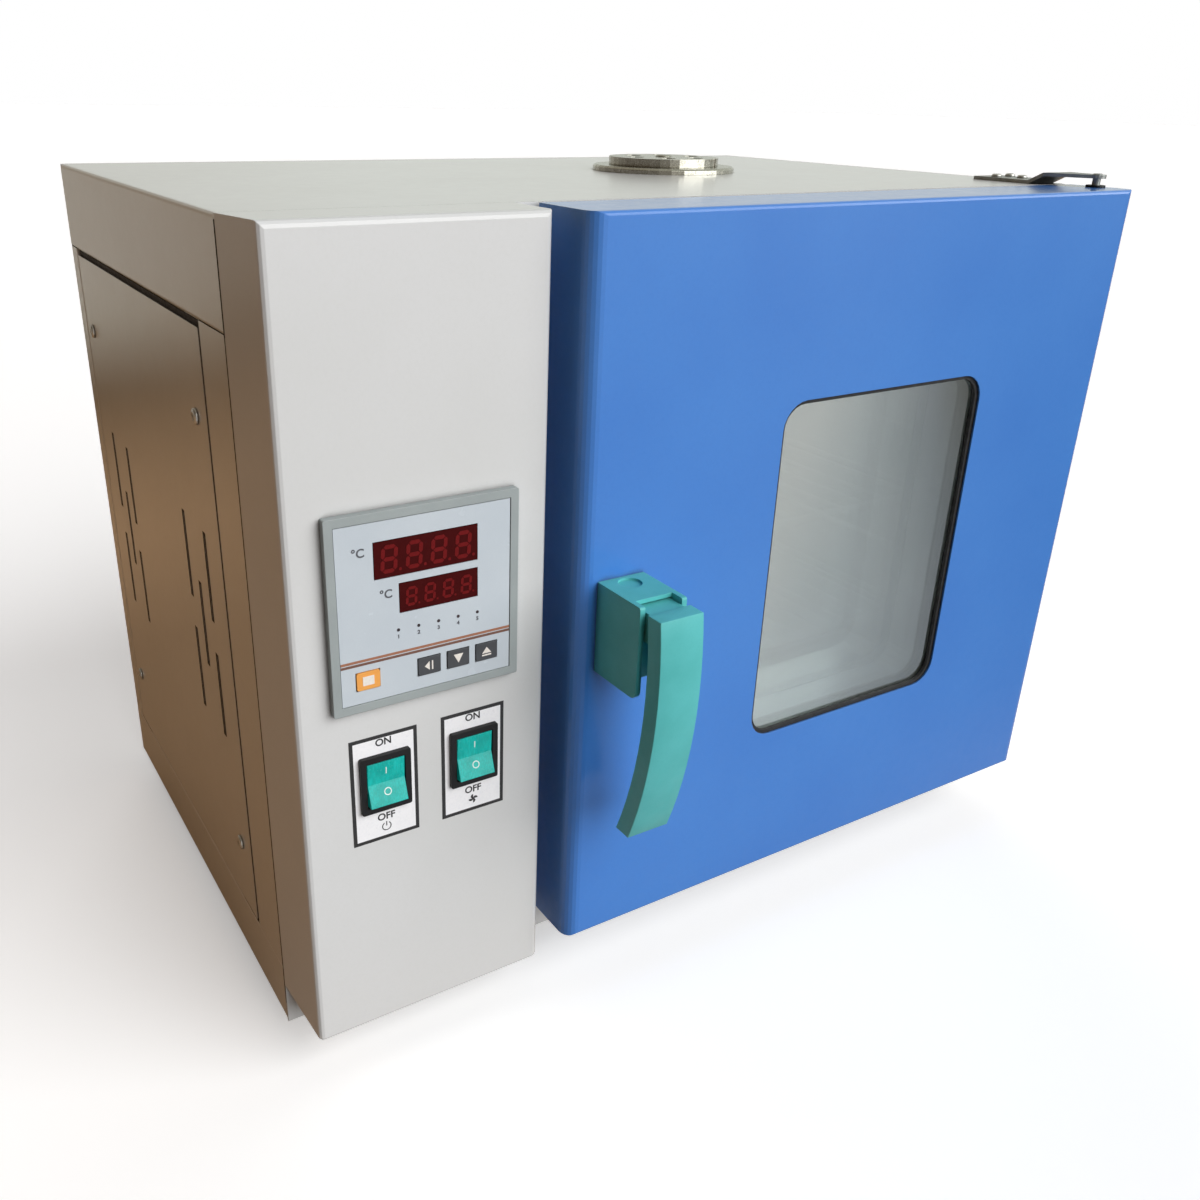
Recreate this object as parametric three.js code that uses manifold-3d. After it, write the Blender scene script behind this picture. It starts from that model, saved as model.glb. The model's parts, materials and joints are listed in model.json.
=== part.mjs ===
// Bench-top forced-air drying oven with a 250 mm chamber. Millimetres, +Z up, the front faces -Y.
// Sizes below are measured from the cabinet's left face (X), the control cover's front (Y) and the
// cabinet's lower edge (Z). The finished group is moved so that its origin is under the oven's middle.
import * as THREE from "three";
import { mergeVertices } from "three/addons/utils/BufferGeometryUtils.js";
import Module from "manifold-3d";

const wasm = await Module();
wasm.setup();

// Chamber, and the insulation that sets the cabinet's size round it
const chamberSide = 250;
const ductWidth = 27;
const linerSheet = 1;
const flangeWidth = 16;
const flangeSheet = 1;
const leftInsulation = 57;
const rightInsulation = 59;
const lowerInsulation = 97.5;
const upperInsulation = 71.5;
const rearInsulation = 72;

// Cabinet
const coverWidth = 137;
const coverDepth = 34;
const ductLeft = coverWidth + leftInsulation;
const chamberLeft = ductLeft + ductWidth;
const chamberRight = chamberLeft + chamberSide;
const chamberTop = lowerInsulation + chamberSide;
const chamberBack = coverDepth + chamberSide;
const chamberMidX = (chamberLeft + chamberRight) / 2;
const chamberMidY = (coverDepth + chamberBack) / 2;
const chamberMidZ = (lowerInsulation + chamberTop) / 2;
const cabinetWidth = chamberRight + rightInsulation;
const cabinetHeight = chamberTop + upperInsulation;
const sheet = 1.2;
const frameSheet = 1.5;
const frameMargin = 12;
const frameCorner = 1.5;
const bendRadius = 1;
const seam = 0.3;
const topStrip = 48;
const bottomStrip = 37;
const frontStrip = 40;
const rearStrip = 17;
const joggle = 1.5;
const joggleRun = 0.8;
const panelGap = 1.8;
const lipWidth = 27;
const shortLip = 14;
const overrun = 3;
const lap = 1;
const frontFace = coverDepth;
const rearFace = chamberBack + rearInsulation;
const frameBack = frontFace + frameSheet;

// Removable side panel
const panelTopGap = 4;
const slotLength = 47;
const slotWidth = 2;
const slotPitch = 19;
const slotRowStep = 34;
const slotGroupDrop = 1;
const frontSlotInset = 88;
const rearSlotInset = 70;
const slotGroupHeight = (bottomStrip + cabinetHeight - topStrip) / 2 - slotGroupDrop;
const frontSlotGroup = frontFace + frontSlotInset;
const rearSlotGroup = rearFace - rearSlotInset;
const panelScrewInset = 19;
const panelScrewRise = 44;
const screwHeadRadius = 4;
const screwHeadHeight = 2;
const screwShankRadius = 1.6;
const screwLength = 7;
const screwClearance = 0.4;

// Control cover
const coverTaper = 5.6;
const coverLift = 12.5;
const coverRise = 13;
const coverEdge = 3;

// Door
const doorGap = 10.5;
const doorLift = 29;
const doorProud = 14;
const doorRearGap = 4;
const doorEdge = 8;
const doorFold = 2;
const doorLeft = coverWidth + doorGap;
const doorFront = -doorProud;
const doorBack = frontFace - doorRearGap;

// Window, in line with the chamber
const windowWidth = 151;
const windowHeight = 199;
const windowRadius = 15;
const glassThickness = 4;
const glassLap = 9;
const sealLip = 2.2;
const sealThickness = 2;
const tunnelWall = 2;
const gasketOffset = 5;
const gasketWidth = 8;
const gasketRadius = 6;

// Partition, fan and heater
const partitionGap = 1;
const partitionX = coverWidth + partitionGap;
const partitionHeadroom = 3.5;
const shaftRadius = 3;
const shaftClearance = 3;
const impellerRadius = 55;
const impellerWidth = 13;
const impellerSheet = 1;
const impellerBlades = 10;
const impellerGap = 5;
const hubRadius = 8;
const bladeRoot = 24;
const bladeLean = Math.PI / 6;
const motorRadius = 32;
const motorLength = 52;
const motorFlange = 38;
const motorFlangeSheet = 3;
const motorBearing = 6;
const motorEdge = 5;
const heaterRadius = 4;
const heaterLoop = 85;
const heaterClearance = 0.8;
const heaterPortShare = 0.12;
const heaterTail = 20;

// Air duct plate
const ductPlateGap = 1;
const suctionHoleRadius = 7;
const suctionHolePitch = 19;
const suctionHoles = 6;
const blowSlotLength = 26;
const blowSlotWidth = 5;
const blowSlotPitch = 38;
const blowSlotInset = 24;
const blowSlots = 6;

// Shelves and their rails
const railSheet = 1.2;
const railLedge = 9;
const railLedgeSheet = 1.5;
const railPitch = 42;
const railLedges = 5;
const railInset = 14;
const lowerShelfLedge = 0;
const upperShelfLedge = 2;
const shelfRod = 2.5;
const shelfWire = 1.4;
const shelfWires = 11;
const shelfSideGap = 2.5;
const shelfFrontGap = 10;

// Vent on the roof
const ventAside = 2;
const ventBehind = 45;
const ventX = chamberMidX + ventAside;
const ventY = chamberMidY + ventBehind;
const ventFlangeRadius = 46;
const ventFlange = 3.5;
const ventCapRadius = 35.5;
const ventCapHeight = 5;
const ventTubeRadius = 30;
const ventTubeWall = 1.2;
const ventFit = 1;
const ventHoleRadius = 5.5;
const ventHoleCircle = 22;
const ventHoleCount = 6;
const ventPivotRadius = 3;
const ventPivotHead = 5.5;
const ventPivotHeadHeight = 1.2;
const ventPivotClearance = 0.2;
const ventNotchRadius = 2.2;
const ventNotchTurn = (-58 * Math.PI) / 180;

// Hinges
const hingeInset = 8;
const hingeBehind = 22;
const hingeX = cabinetWidth - hingeInset;
const hingeY = doorFront + hingeBehind;
const hingeSheet = 2;
const hingeWidth = 26;
const hingeReach = 48;
const hingeBendInset = 8;
const hingeRear = frontFace + hingeReach;
const hingeBend = frontFace + hingeBendInset;
const hingeRamp = 10;
const hingeRise = 5;
const hingeNose = 5;
const hingePinRadius = 2.3;
const hingePinClearance = 0.4;
const hingePinDepth = 16;
const hingePinHead = 0.6;
const hingeScrewHole = 2;
const bushWall = 1.6;
const bushFlange = 1.2;
const bushFlangeWidth = 1.2;
const bushDepth = 12;
const lowerHingeDrop = 22;

// Handle and latch
const handleInset = 24.7;
const handleRise = 23.5;
const handleX = doorLeft + handleInset;
const handleBaseWidth = 27.5;
const handleBaseTop = chamberMidZ + handleRise;
const handleBaseHeight = 49;
const handleBaseDepth = 35.5;
const handleBaseEdge = 4;
const cheek = 3;
const notchDepth = 18;
const roofLap = 1.5;
const roofClearance = 0.8;
const dimpleRadius = 6;
const dimpleDepth = 1.2;
const dimpleInset = 8;
const pinCover = 1;
const leverWidth = 25;
const leverTopDrop = 2;
const leverLength = 128;
const leverThickness = 10;
const leverRadius = 270;
const leverCrown = 52;
const leverCrownDrop = 36;
const leverEdge = 1.2;
const leverPivotOut = 26;
const leverPivotDrop = 10.5;
const leverTop = handleBaseTop - leverTopDrop;
const leverCrownZ = handleBaseTop - leverCrownDrop;
const leverPivotZ = handleBaseTop - leverPivotDrop;
const leverRange = (15 * Math.PI) / 180;
const neckRadius = 7.5;
const neckClearance = 0.6;
const leverPinRadius = 2.4;
const leverPinClearance = 0.4;
const hookThickness = 3;
const hookHeight = 8;
const hookEye = 5.5;
const hookReach = 16;
const hookNotchDepth = 3;
const hookNotchWidth = 7;
const hookBarb = 3;
const hookSlack = 1.5;
const latchSlotSide = 4.5;
const strikePinRadius = 2.5;
const strikeLift = 0.4;
const strikeHalfWidth = 9;
const strikeFoot = 6;
const strikeDepth = 20;
const strikeHeight = 14;
const leverPivotY = doorFront - leverPivotOut;
const latchSlotFloor = leverPivotZ - hookDrop(frameBack + hookReach) - hookSlack;

// Temperature controller; its displays and keys are placed from its middle
const controllerAside = -0.5;
const controllerRise = 27.5;
const controllerX = (coverTaper + coverWidth) / 2 + controllerAside;
const controllerZ = chamberMidZ + controllerRise;
const controllerSide = 96;
const controllerProud = 4;
const controllerBorder = 4.2;
const controllerBody = 91;
const controllerDepth = 60;
const controllerFit = 0.5;
const controllerCorner = 0.8;
const faceRecess = 0.3;
const faceSheet = 1;
const upperDisplay = { aside: 0.4, rise: 25.2, width: 51.5, height: 17.4 };
const lowerDisplay = { aside: 6.3, rise: 5.1, width: 39.7, height: 14.3 };
const displaySheet = 1.1;
const keyWidth = 11.6;
const keyHeight = 9;
const keyDrop = 32.2;
const keyPlaceShares = [-0.318, 0.004, 0.163, 0.322];
const keyZ = controllerZ - keyDrop;
const keyXs = keyPlaceShares.map((share) => controllerX + share * controllerSide);
const keyThickness = 2.6;
const keyProud = 0.5;
const keyTravel = 0.6;
const keyClearance = 0.3;
const keyCorner = 1;

// Rocker switches
const switchDrop = 90.8;
const switchPitch = 48.2;
const switchAside = 0.7;
const switchMidX = (coverTaper + coverWidth) / 2 + switchAside;
const switchZ = controllerZ - switchDrop;
const switchXs = [switchMidX - switchPitch / 2, switchMidX + switchPitch / 2];
const switchBezelWidth = 26.3;
const switchBezelHeight = 31.4;
const switchBezelSheet = 2.4;
const switchBodyWidth = 22;
const switchBodyHeight = 28;
const switchBodyDepth = 20;
const rockerWidth = 19.3;
const rockerHeight = 23;
const rockerEndHeight = 4;
const rockerMidHeight = 1.8;
const rockerDepth = 6;
const rockerTilt = (8 * Math.PI) / 180;
const rockerPivotDepth = 1;
const rockerGap = 0.5;
const rockerWell = 11;
const switchCorner = 1;
const terminalWidth = 6.3;
const terminalSheet = 0.8;
const terminalLength = 9;
const terminalPitch = 8;

// Feet and cable gland
const footRadius = 14;
const footTaper = 2;
const footHeight = 12;
const footInset = 34;
const glandX = 70;
const glandZ = 60;
const glandThread = 8;
const glandFlats = 12;
const glandNut = 6;
const glandDome = 10;
const glandCable = 4.5;
const glandRim = 1.2;
const glandInside = 10;

// How far the latch arm falls at a place in the depth when the lever is pulled right out
function hookDrop(y) {
  return (y - leverPivotY) * Math.sin(leverRange) + (hookHeight / 2) * Math.cos(leverRange);
}

// Facets
const bendSteps = 3;
const cornerSteps = 6;
const roundSteps = 24;
const smallSteps = 12;
const noseSteps = 8;
const leverSteps = 12;
const wireSteps = 6;
const heaterSteps = 8;
const heaterRings = 84;
const heaterTurnPoints = 16;

const quarter = Math.PI / 2;
const full = 2 * Math.PI;

// Points of an arc about (x, y), the last one included
function arc(x, y, radius, from, to, steps) {
  return Array.from({ length: steps + 1 }, (_, i) => {
    const a = from + ((to - from) * i) / steps;
    return new THREE.Vector2(x + radius * Math.cos(a), y + radius * Math.sin(a));
  });
}

function circle(x, y, radius, steps = smallSteps) {
  return arc(x, y, radius, 0, full, steps).slice(0, steps);
}

function rectangle(x0, y0, x1, y1, radius = 0, steps = cornerSteps) {
  if (!radius) return [[x0, y0], [x1, y0], [x1, y1], [x0, y1]].map((p) => new THREE.Vector2(...p));
  return [
    ...arc(x1 - radius, y0 + radius, radius, -quarter, 0, steps),
    ...arc(x1 - radius, y1 - radius, radius, 0, quarter, steps),
    ...arc(x0 + radius, y1 - radius, radius, quarter, 2 * quarter, steps),
    ...arc(x0 + radius, y0 + radius, radius, 2 * quarter, 3 * quarter, steps),
  ];
}

// A closed outline with holes
function outline(points, holes = []) {
  const shape = new THREE.Shape(points);
  shape.holes = holes.map((hole) => new THREE.Path(hole));
  return shape;
}

// A shape drawn in (y, z), (x, z) or (x, y) and drawn out along the remaining axis
function extrude(axis, shape, from, to) {
  const drawn = shape instanceof THREE.Shape ? shape : outline(shape);
  const geometry = new THREE.ExtrudeGeometry(drawn, { depth: to - from, bevelEnabled: false });
  if (axis === "z") return geometry.translate(0, 0, from);
  if (axis === "y") return geometry.rotateX(quarter).translate(0, to, 0);
  const cyclic = new THREE.Matrix4().makeBasis(
    new THREE.Vector3(0, 1, 0),
    new THREE.Vector3(0, 0, 1),
    new THREE.Vector3(1, 0, 0),
  );
  return geometry.applyMatrix4(cyclic).translate(from, 0, 0);
}

function block(x0, x1, y0, y1, z0, z1) {
  return extrude("z", rectangle(x0, y0, x1, y1), z0, z1);
}

// A solid of revolution from a closed profile of (radius, height) pairs, turned about +Z
function turned(profile, steps = roundSteps) {
  const points = profile.map(([r, h]) => new THREE.Vector2(r, h));
  if (THREE.ShapeUtils.isClockWise(points)) points.reverse();
  const closed = profile[0][0] === 0 ? points : [...points, points[0]];
  return new THREE.LatheGeometry(closed, steps).rotateX(quarter);
}

// A solid made along +Z, turned to point along +X or +Y
function turnTo(axis, geometry) {
  return axis === "x" ? geometry.rotateY(quarter) : geometry.rotateX(-quarter);
}

function rod(axis, radius, from, to, u, v, steps = smallSteps) {
  return extrude(axis, circle(u, v, radius, steps), from, to);
}

function toSolid(geometry) {
  const bare = new THREE.BufferGeometry();
  bare.setAttribute("position", geometry.getAttribute("position"));
  if (geometry.index) bare.setIndex(geometry.index);
  const merged = mergeVertices(bare);
  return new wasm.Manifold(
    new wasm.Mesh({
      numProp: 3,
      vertProperties: merged.attributes.position.array,
      triVerts: new Uint32Array(merged.index.array),
    }),
  );
}

function toGeometry(solid) {
  const mesh = solid.getMesh();
  const geometry = new THREE.BufferGeometry();
  geometry.setAttribute("position", new THREE.BufferAttribute(new Float32Array(mesh.vertProperties), 3));
  geometry.setIndex(new THREE.BufferAttribute(new Uint32Array(mesh.triVerts), 1));
  const flat = geometry.toNonIndexed();
  flat.computeVertexNormals();
  return flat;
}

function join(...pieces) {
  return toGeometry(pieces.map(toSolid).reduce((all, next) => all.add(next)));
}

function cut(body, ...tools) {
  return toGeometry(tools.map(toSolid).reduce((left, tool) => left.subtract(tool), toSolid(body)));
}

function common(a, b) {
  return toGeometry(toSolid(a).intersect(toSolid(b)));
}

// A plate with holes through it
function pierced(axis, face, holes, from, to) {
  const drills = holes.map((hole) => extrude(axis, hole, from - overrun, to + overrun));
  return cut(extrude(axis, face, from, to), ...drills);
}

// Sideways copy of a polyline, to its left for a positive distance
function offsetPath(path, distance) {
  const normals = path.slice(1).map((p, i) => {
    const along = p.clone().sub(path[i]).normalize();
    return new THREE.Vector2(-along.y, along.x);
  });
  return path.map((p, i) => {
    const before = normals[Math.max(i - 1, 0)];
    const after = normals[Math.min(i, normals.length - 1)];
    const mitre = before.clone().add(after).divideScalar(1 + before.dot(after));
    return p.clone().addScaledVector(mitre, distance);
  });
}

// The same polyline with each inner corner rounded
function filletPath(path, radius) {
  return path.flatMap((p, i) => {
    if (i === 0 || i === path.length - 1) return [p];
    const back = path[i - 1].clone().sub(p);
    const ahead = path[i + 1].clone().sub(p);
    const reach = Math.min(back.length(), ahead.length()) / 2;
    const turn = Math.PI - back.angleTo(ahead);
    const tangent = Math.min(radius * Math.tan(turn / 2), reach);
    const start = p.clone().addScaledVector(back.normalize(), tangent);
    const end = p.clone().addScaledVector(ahead.normalize(), tangent);
    return new THREE.QuadraticBezierCurve(start, p, end).getPoints(bendSteps);
  });
}

// Section of bent sheet whose outer faces follow the path; side 1 puts the metal on its left
function bentSheet(path, side, thickness = sheet) {
  const outer = path.map(([x, y]) => new THREE.Vector2(x, y));
  const middle = filletPath(offsetPath(outer, (side * thickness) / 2), bendRadius + thickness / 2);
  const left = offsetPath(middle, thickness / 2);
  const right = offsetPath(middle, -thickness / 2);
  return [...right, ...left.reverse()];
}

const oven = new THREE.Group();
const finishes = {
  cabinetPaint: { color: 0xd8d8d2, roughness: 0.45, metalness: 0 },
  doorPaint: { color: 0x3f6fc4, roughness: 0.4, metalness: 0 },
  stainless: { color: 0xb9bcbd, roughness: 0.3, metalness: 1 },
  zinc: { color: 0x9a9c98, roughness: 0.4, metalness: 1 },
  handlePlastic: { color: 0x4fae9d, roughness: 0.5, metalness: 0 },
  bezelPlastic: { color: 0x98a2a5, roughness: 0.5, metalness: 0 },
  faceFilm: { color: 0xcdd6dc, roughness: 0.25, metalness: 0 },
  displayFilter: { color: 0x3a070b, roughness: 0.15, metalness: 0 },
  blackPlastic: { color: 0x151517, roughness: 0.4, metalness: 0 },
  rockerPlastic: { color: 0x0fa98c, roughness: 0.25, metalness: 0 },
  orangeKey: { color: 0xf0a24e, roughness: 0.5, metalness: 0 },
  greyKey: { color: 0x4a4d50, roughness: 0.5, metalness: 0 },
  clearGlass: { color: 0xdfe8e4, roughness: 0.05, metalness: 0, transparent: true, opacity: 0.35 },
  rubber: { color: 0x1c1c1c, roughness: 0.8, metalness: 0 },
  silicone: { color: 0xb5b0a8, roughness: 0.7, metalness: 0 },
  mineralWool: { color: 0xcfc7a8, roughness: 1, metalness: 0 },
  castMotor: { color: 0x55585a, roughness: 0.6, metalness: 0.6 },
};

function add(name, finish, geometry) {
  const mesh = new THREE.Mesh(geometry, new THREE.MeshStandardMaterial(finishes[finish]));
  mesh.name = name;
  oven.add(mesh);
}

// Strips that run along two edges of the side panel stop short of the lips along its other two edges
function besideLips(z0, z1) {
  const inward = joggle + sheet + seam;
  const frontLip = frontFace + frontStrip + lipWidth + seam;
  const rearLip = rearFace - rearStrip - lipWidth - seam;
  return [
    block(-overrun, inward, -overrun, frontLip, z0, z1),
    block(-overrun, inward, rearLip, rearFace + overrun, z0, z1),
  ];
}

function addCabinet() {
  const right = cabinetWidth;
  const top = cabinetHeight;
  const front = frameBack + seam;
  const back = rearFace - sheet - seam;
  const stripEdge = top - topStrip;
  const topPath = [
    [joggle, stripEdge - lipWidth],
    [joggle, stripEdge - joggleRun],
    [0, stripEdge],
    [0, top],
    [right, top],
  ];
  const ventHole = rod("z", ventTubeRadius + ventFit, stripEdge, top + overrun, ventX, ventY, roundSteps);
  add("top_cover", "cabinetPaint", cut(
    extrude("y", bentSheet(topPath, -1), front, back),
    ventHole,
    ...besideLips(stripEdge - lipWidth - overrun, stripEdge),
  ));

  const underTop = top - sheet - seam;
  const rightPath = [
    [right, seam],
    [right, underTop],
    [right - shortLip, underTop],
  ];
  add("right_side_panel", "cabinetPaint", extrude("y", bentSheet(rightPath, 1), front, back));

  const basePath = [
    [joggle, bottomStrip + shortLip],
    [joggle, bottomStrip + joggleRun],
    [0, bottomStrip],
    [0, 0],
    [right - sheet - seam, 0],
    [right - sheet - seam, shortLip],
  ];
  add("base_pan", "cabinetPaint", cut(
    extrude("y", bentSheet(basePath, 1), front, back),
    ...besideLips(bottomStrip, bottomStrip + shortLip + overrun),
  ));

  const rearReturn = rearFace - rearStrip;
  const rearPath = [
    [joggle, rearReturn - lipWidth],
    [joggle, rearReturn - joggleRun],
    [0, rearReturn],
    [0, rearFace],
    [right, rearFace],
  ];
  const glandHole = rod("y", glandThread + ventFit, rearFace - overrun, rearFace + overrun, glandX, glandZ);
  const inward = sheet + joggle + seam;
  add("rear_panel", "cabinetPaint", cut(
    extrude("z", bentSheet(rearPath, -1), 0, top),
    block(-overrun, inward, -overrun, back + seam, -overrun, bottomStrip + seam),
    block(-overrun, inward, -overrun, back + seam, stripEdge - seam, top + overrun),
    glandHole,
    ...screwHoles(screwShankRadius + screwClearance),
  ));

  const postPath = [
    [0, front],
    [0, frontFace + frontStrip],
    [joggle, frontFace + frontStrip + joggleRun],
    [joggle, frontFace + frontStrip + lipWidth],
  ];
  add("left_front_post", "cabinetPaint", cut(
    extrude("z", bentSheet(postPath, -1), bottomStrip + seam, stripEdge - seam),
    ...screwHoles(screwShankRadius + screwClearance),
  ));
}

function screwPlaces() {
  const ys = [frontFace + frontStrip + panelScrewInset, rearFace - rearStrip - panelScrewInset];
  const zs = [bottomStrip + panelScrewRise, cabinetHeight - topStrip - panelScrewRise - panelTopGap];
  return ys.flatMap((y) => zs.map((z) => [y, z]));
}

function screwHoles(radius) {
  return screwPlaces().map(([y, z]) => rod("x", radius, -overrun, joggle + sheet + overrun, y, z));
}

// Vertical slots in five staggered places about the middle of a group
function slotGroup(middle) {
  const places = [[-1, 1], [1, 1], [0, 0], [-1, -1], [1, -1]];
  return places.map(([column, row]) => {
    const y = middle + column * slotPitch;
    const z = slotGroupHeight + row * slotRowStep;
    return rectangle(y - slotWidth / 2, z - slotLength / 2, y + slotWidth / 2, z + slotLength / 2);
  });
}

function addSidePanel() {
  const face = rectangle(
    frontFace + frontStrip + panelGap,
    bottomStrip + panelGap,
    rearFace - rearStrip - panelGap,
    cabinetHeight - topStrip - panelTopGap,
    joggle,
    bendSteps,
  );
  const holes = [
    ...slotGroup(frontSlotGroup),
    ...slotGroup(rearSlotGroup),
    ...screwPlaces().map(([y, z]) => circle(y, z, screwShankRadius + screwClearance)),
  ];
  add("left_side_panel", "cabinetPaint", pierced("x", face, holes, 0, sheet));

  screwPlaces().forEach(([y, z], i) => {
    const screw = turned([
      [0, -screwHeadHeight],
      [screwHeadRadius / 2, -screwHeadHeight],
      [screwHeadRadius, -screwHeadHeight / 3],
      [screwHeadRadius, 0],
      [screwShankRadius, 0],
      [screwShankRadius, screwLength],
      [0, screwLength],
    ], smallSteps);
    add(`side_panel_screw_${i + 1}`, "zinc", turnTo("x", screw).translate(0, y, z));
  });
}

function addFront() {
  const clear = linerSheet + seam;
  const mouth = rectangle(ductLeft - clear, lowerInsulation - clear, chamberRight + clear, chamberTop + clear);
  const latchSlot = rectangle(
    handleX - hookThickness / 2 - latchSlotSide,
    latchSlotFloor,
    handleX + hookThickness / 2 + hookSlack,
    leverPivotZ + hookHeight / 2 + hookSlack,
  );
  const controls = rectangle(
    frameMargin,
    coverLift + coverRise + frameMargin,
    coverWidth - frameMargin,
    cabinetHeight - frameMargin,
    frameCorner,
  );
  const face = rectangle(0, 0, cabinetWidth, cabinetHeight);
  add("front_frame", "cabinetPaint", pierced("y", face, [mouth, latchSlot, controls], frontFace, frameBack));

  const wall = rectangle(frameBack + seam, sheet + seam, rearFace - sheet - seam,
    cabinetHeight - partitionHeadroom);
  const ports = [
    circle(chamberMidY, chamberMidZ, shaftRadius + shaftClearance, roundSteps),
    ...heaterPorts().map(([y, z]) => circle(y, z, heaterRadius + heaterClearance)),
  ];
  add("partition_wall", "zinc", pierced("x", wall, ports, partitionX, partitionX + sheet));
}

// Hollow of the folded cover: two crossing prisms, drawn in by the sheet for the inside
function coverBody(inset) {
  const lift = coverLift + inset;
  const plan = [
    new THREE.Vector2(inset, frontFace + (inset ? overrun : 0)),
    ...arc(coverTaper + coverEdge, coverEdge, Math.max(coverEdge - inset, sheet / 2), Math.PI,
      1.5 * Math.PI, bendSteps),
    ...arc(coverWidth - coverEdge, coverEdge, Math.max(coverEdge - inset, sheet / 2), 1.5 * Math.PI,
      full, bendSteps),
    new THREE.Vector2(coverWidth - inset, frontFace + (inset ? overrun : 0)),
  ];
  const side = [
    new THREE.Vector2(frontFace + (inset ? overrun : 0), cabinetHeight - inset),
    ...arc(coverEdge, cabinetHeight - coverEdge, Math.max(coverEdge - inset, sheet / 2), quarter,
      2 * quarter, bendSteps),
    new THREE.Vector2(inset, lift),
    new THREE.Vector2(frontFace + (inset ? overrun : 0), lift + coverRise),
  ];
  return common(
    extrude("z", plan, lift - overrun, cabinetHeight + overrun),
    extrude("x", side, -overrun, coverWidth + overrun),
  );
}

function addCover() {
  const holes = [
    block(controllerX - controllerBody / 2, controllerX + controllerBody / 2, -overrun, frontFace / 2,
      controllerZ - controllerBody / 2, controllerZ + controllerBody / 2),
    ...switchXs.map((x) =>
      block(x - switchBodyWidth / 2 - seam, x + switchBodyWidth / 2 + seam, -overrun, frontFace / 2,
        switchZ - switchBodyHeight / 2 - seam, switchZ + switchBodyHeight / 2 + seam)),
  ];
  add("control_cover", "cabinetPaint", cut(coverBody(0), coverBody(sheet), ...holes));
}

// Places (y, z) where the two ends of the heater leave the duct
function heaterPorts() {
  const angle = full * heaterPortShare;
  return [-1, 1].map((side) => [
    chamberMidY + side * heaterLoop * Math.sin(angle / 2),
    chamberMidZ + heaterLoop * Math.cos(angle / 2),
  ]);
}

// Chamber
function addChamber() {
  const wall = linerSheet;
  const flangeFront = frontFace - flangeSheet;
  const shell = block(ductLeft - wall, chamberRight + wall, flangeFront, chamberBack + wall,
    lowerInsulation - wall, chamberTop + wall);
  const hollow = block(ductLeft, chamberRight, frontFace, chamberBack, lowerInsulation, chamberTop);
  const mouth = block(chamberLeft, chamberRight, -overrun, frontFace + overrun, lowerInsulation, chamberTop);
  const flange = block(ductLeft - flangeWidth, chamberRight + flangeWidth, flangeFront, frontFace,
    lowerInsulation - flangeWidth, chamberTop + flangeWidth);
  const portHoles = heaterPorts().map(([y, z]) =>
    rod("x", heaterRadius + heaterClearance, ductLeft - overrun, ductLeft + overrun, y, z));
  const shaftHole = shaftRadius + shaftClearance;
  add("chamber_liner", "stainless", cut(
    join(shell, flange),
    hollow,
    mouth,
    rod("x", shaftHole, ductLeft - overrun, ductLeft + overrun, chamberMidY, chamberMidZ),
    rod("z", ventTubeRadius + seam, chamberTop - overrun, chamberTop + overrun, ventX, ventY, roundSteps),
    ...portHoles,
  ));

  const skin = linerSheet + seam;
  const latchPocket = strikeHalfWidth + strikeFoot + seam;
  add("insulation_jacket", "mineralWool", cut(
    block(partitionX + sheet + seam, cabinetWidth - sheet - 2 * seam, frameBack + seam,
      rearFace - sheet - seam, sheet + seam, cabinetHeight - partitionHeadroom),
    block(ductLeft - skin, chamberRight + skin, -overrun, chamberBack + skin, lowerInsulation - skin,
      chamberTop + skin),
    rod("x", shaftHole, partitionX, ductLeft, chamberMidY, chamberMidZ),
    ...heaterPorts().map(([y, z]) => rod("x", heaterRadius + heaterClearance, partitionX, ductLeft, y, z)),
    rod("z", ventTubeRadius + seam, chamberTop, cabinetHeight, ventX, ventY, roundSteps),
    block(handleX - latchPocket, handleX + latchPocket, -overrun, frameBack + strikeDepth + hookReach,
      latchSlotFloor - hookSlack, leverPivotZ + strikeHeight + hookHeight),
    block(cabinetWidth - sheet - seam - shortLip - seam, cabinetWidth, 0, rearFace, 0, shortLip + seam),
  ));
}

function addDuctPlate() {
  const suction = [circle(chamberMidY, chamberMidZ, suctionHoleRadius)];
  for (let i = 0; i < suctionHoles; i += 1) {
    const angle = (full * i) / suctionHoles;
    suction.push(circle(chamberMidY + suctionHolePitch * Math.cos(angle),
      chamberMidZ + suctionHolePitch * Math.sin(angle), suctionHoleRadius));
  }
  const blow = [frontFace + blowSlotInset, chamberBack - blowSlotInset].flatMap((y) =>
    Array.from({ length: blowSlots }, (_, i) => {
      const z = chamberMidZ + (i - (blowSlots - 1) / 2) * blowSlotPitch;
      return rectangle(y - blowSlotWidth / 2, z - blowSlotLength / 2, y + blowSlotWidth / 2,
        z + blowSlotLength / 2);
    }));
  const face = rectangle(frontFace + ductPlateGap, lowerInsulation + seam, chamberBack - seam,
    chamberTop - seam);
  add("duct_plate", "stainless",
    pierced("x", face, [...suction, ...blow], chamberLeft - linerSheet, chamberLeft));
}

function ledgeZ(index) {
  const first = chamberMidZ - (railPitch * (railLedges - 1)) / 2;
  return first + index * railPitch;
}

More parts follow.
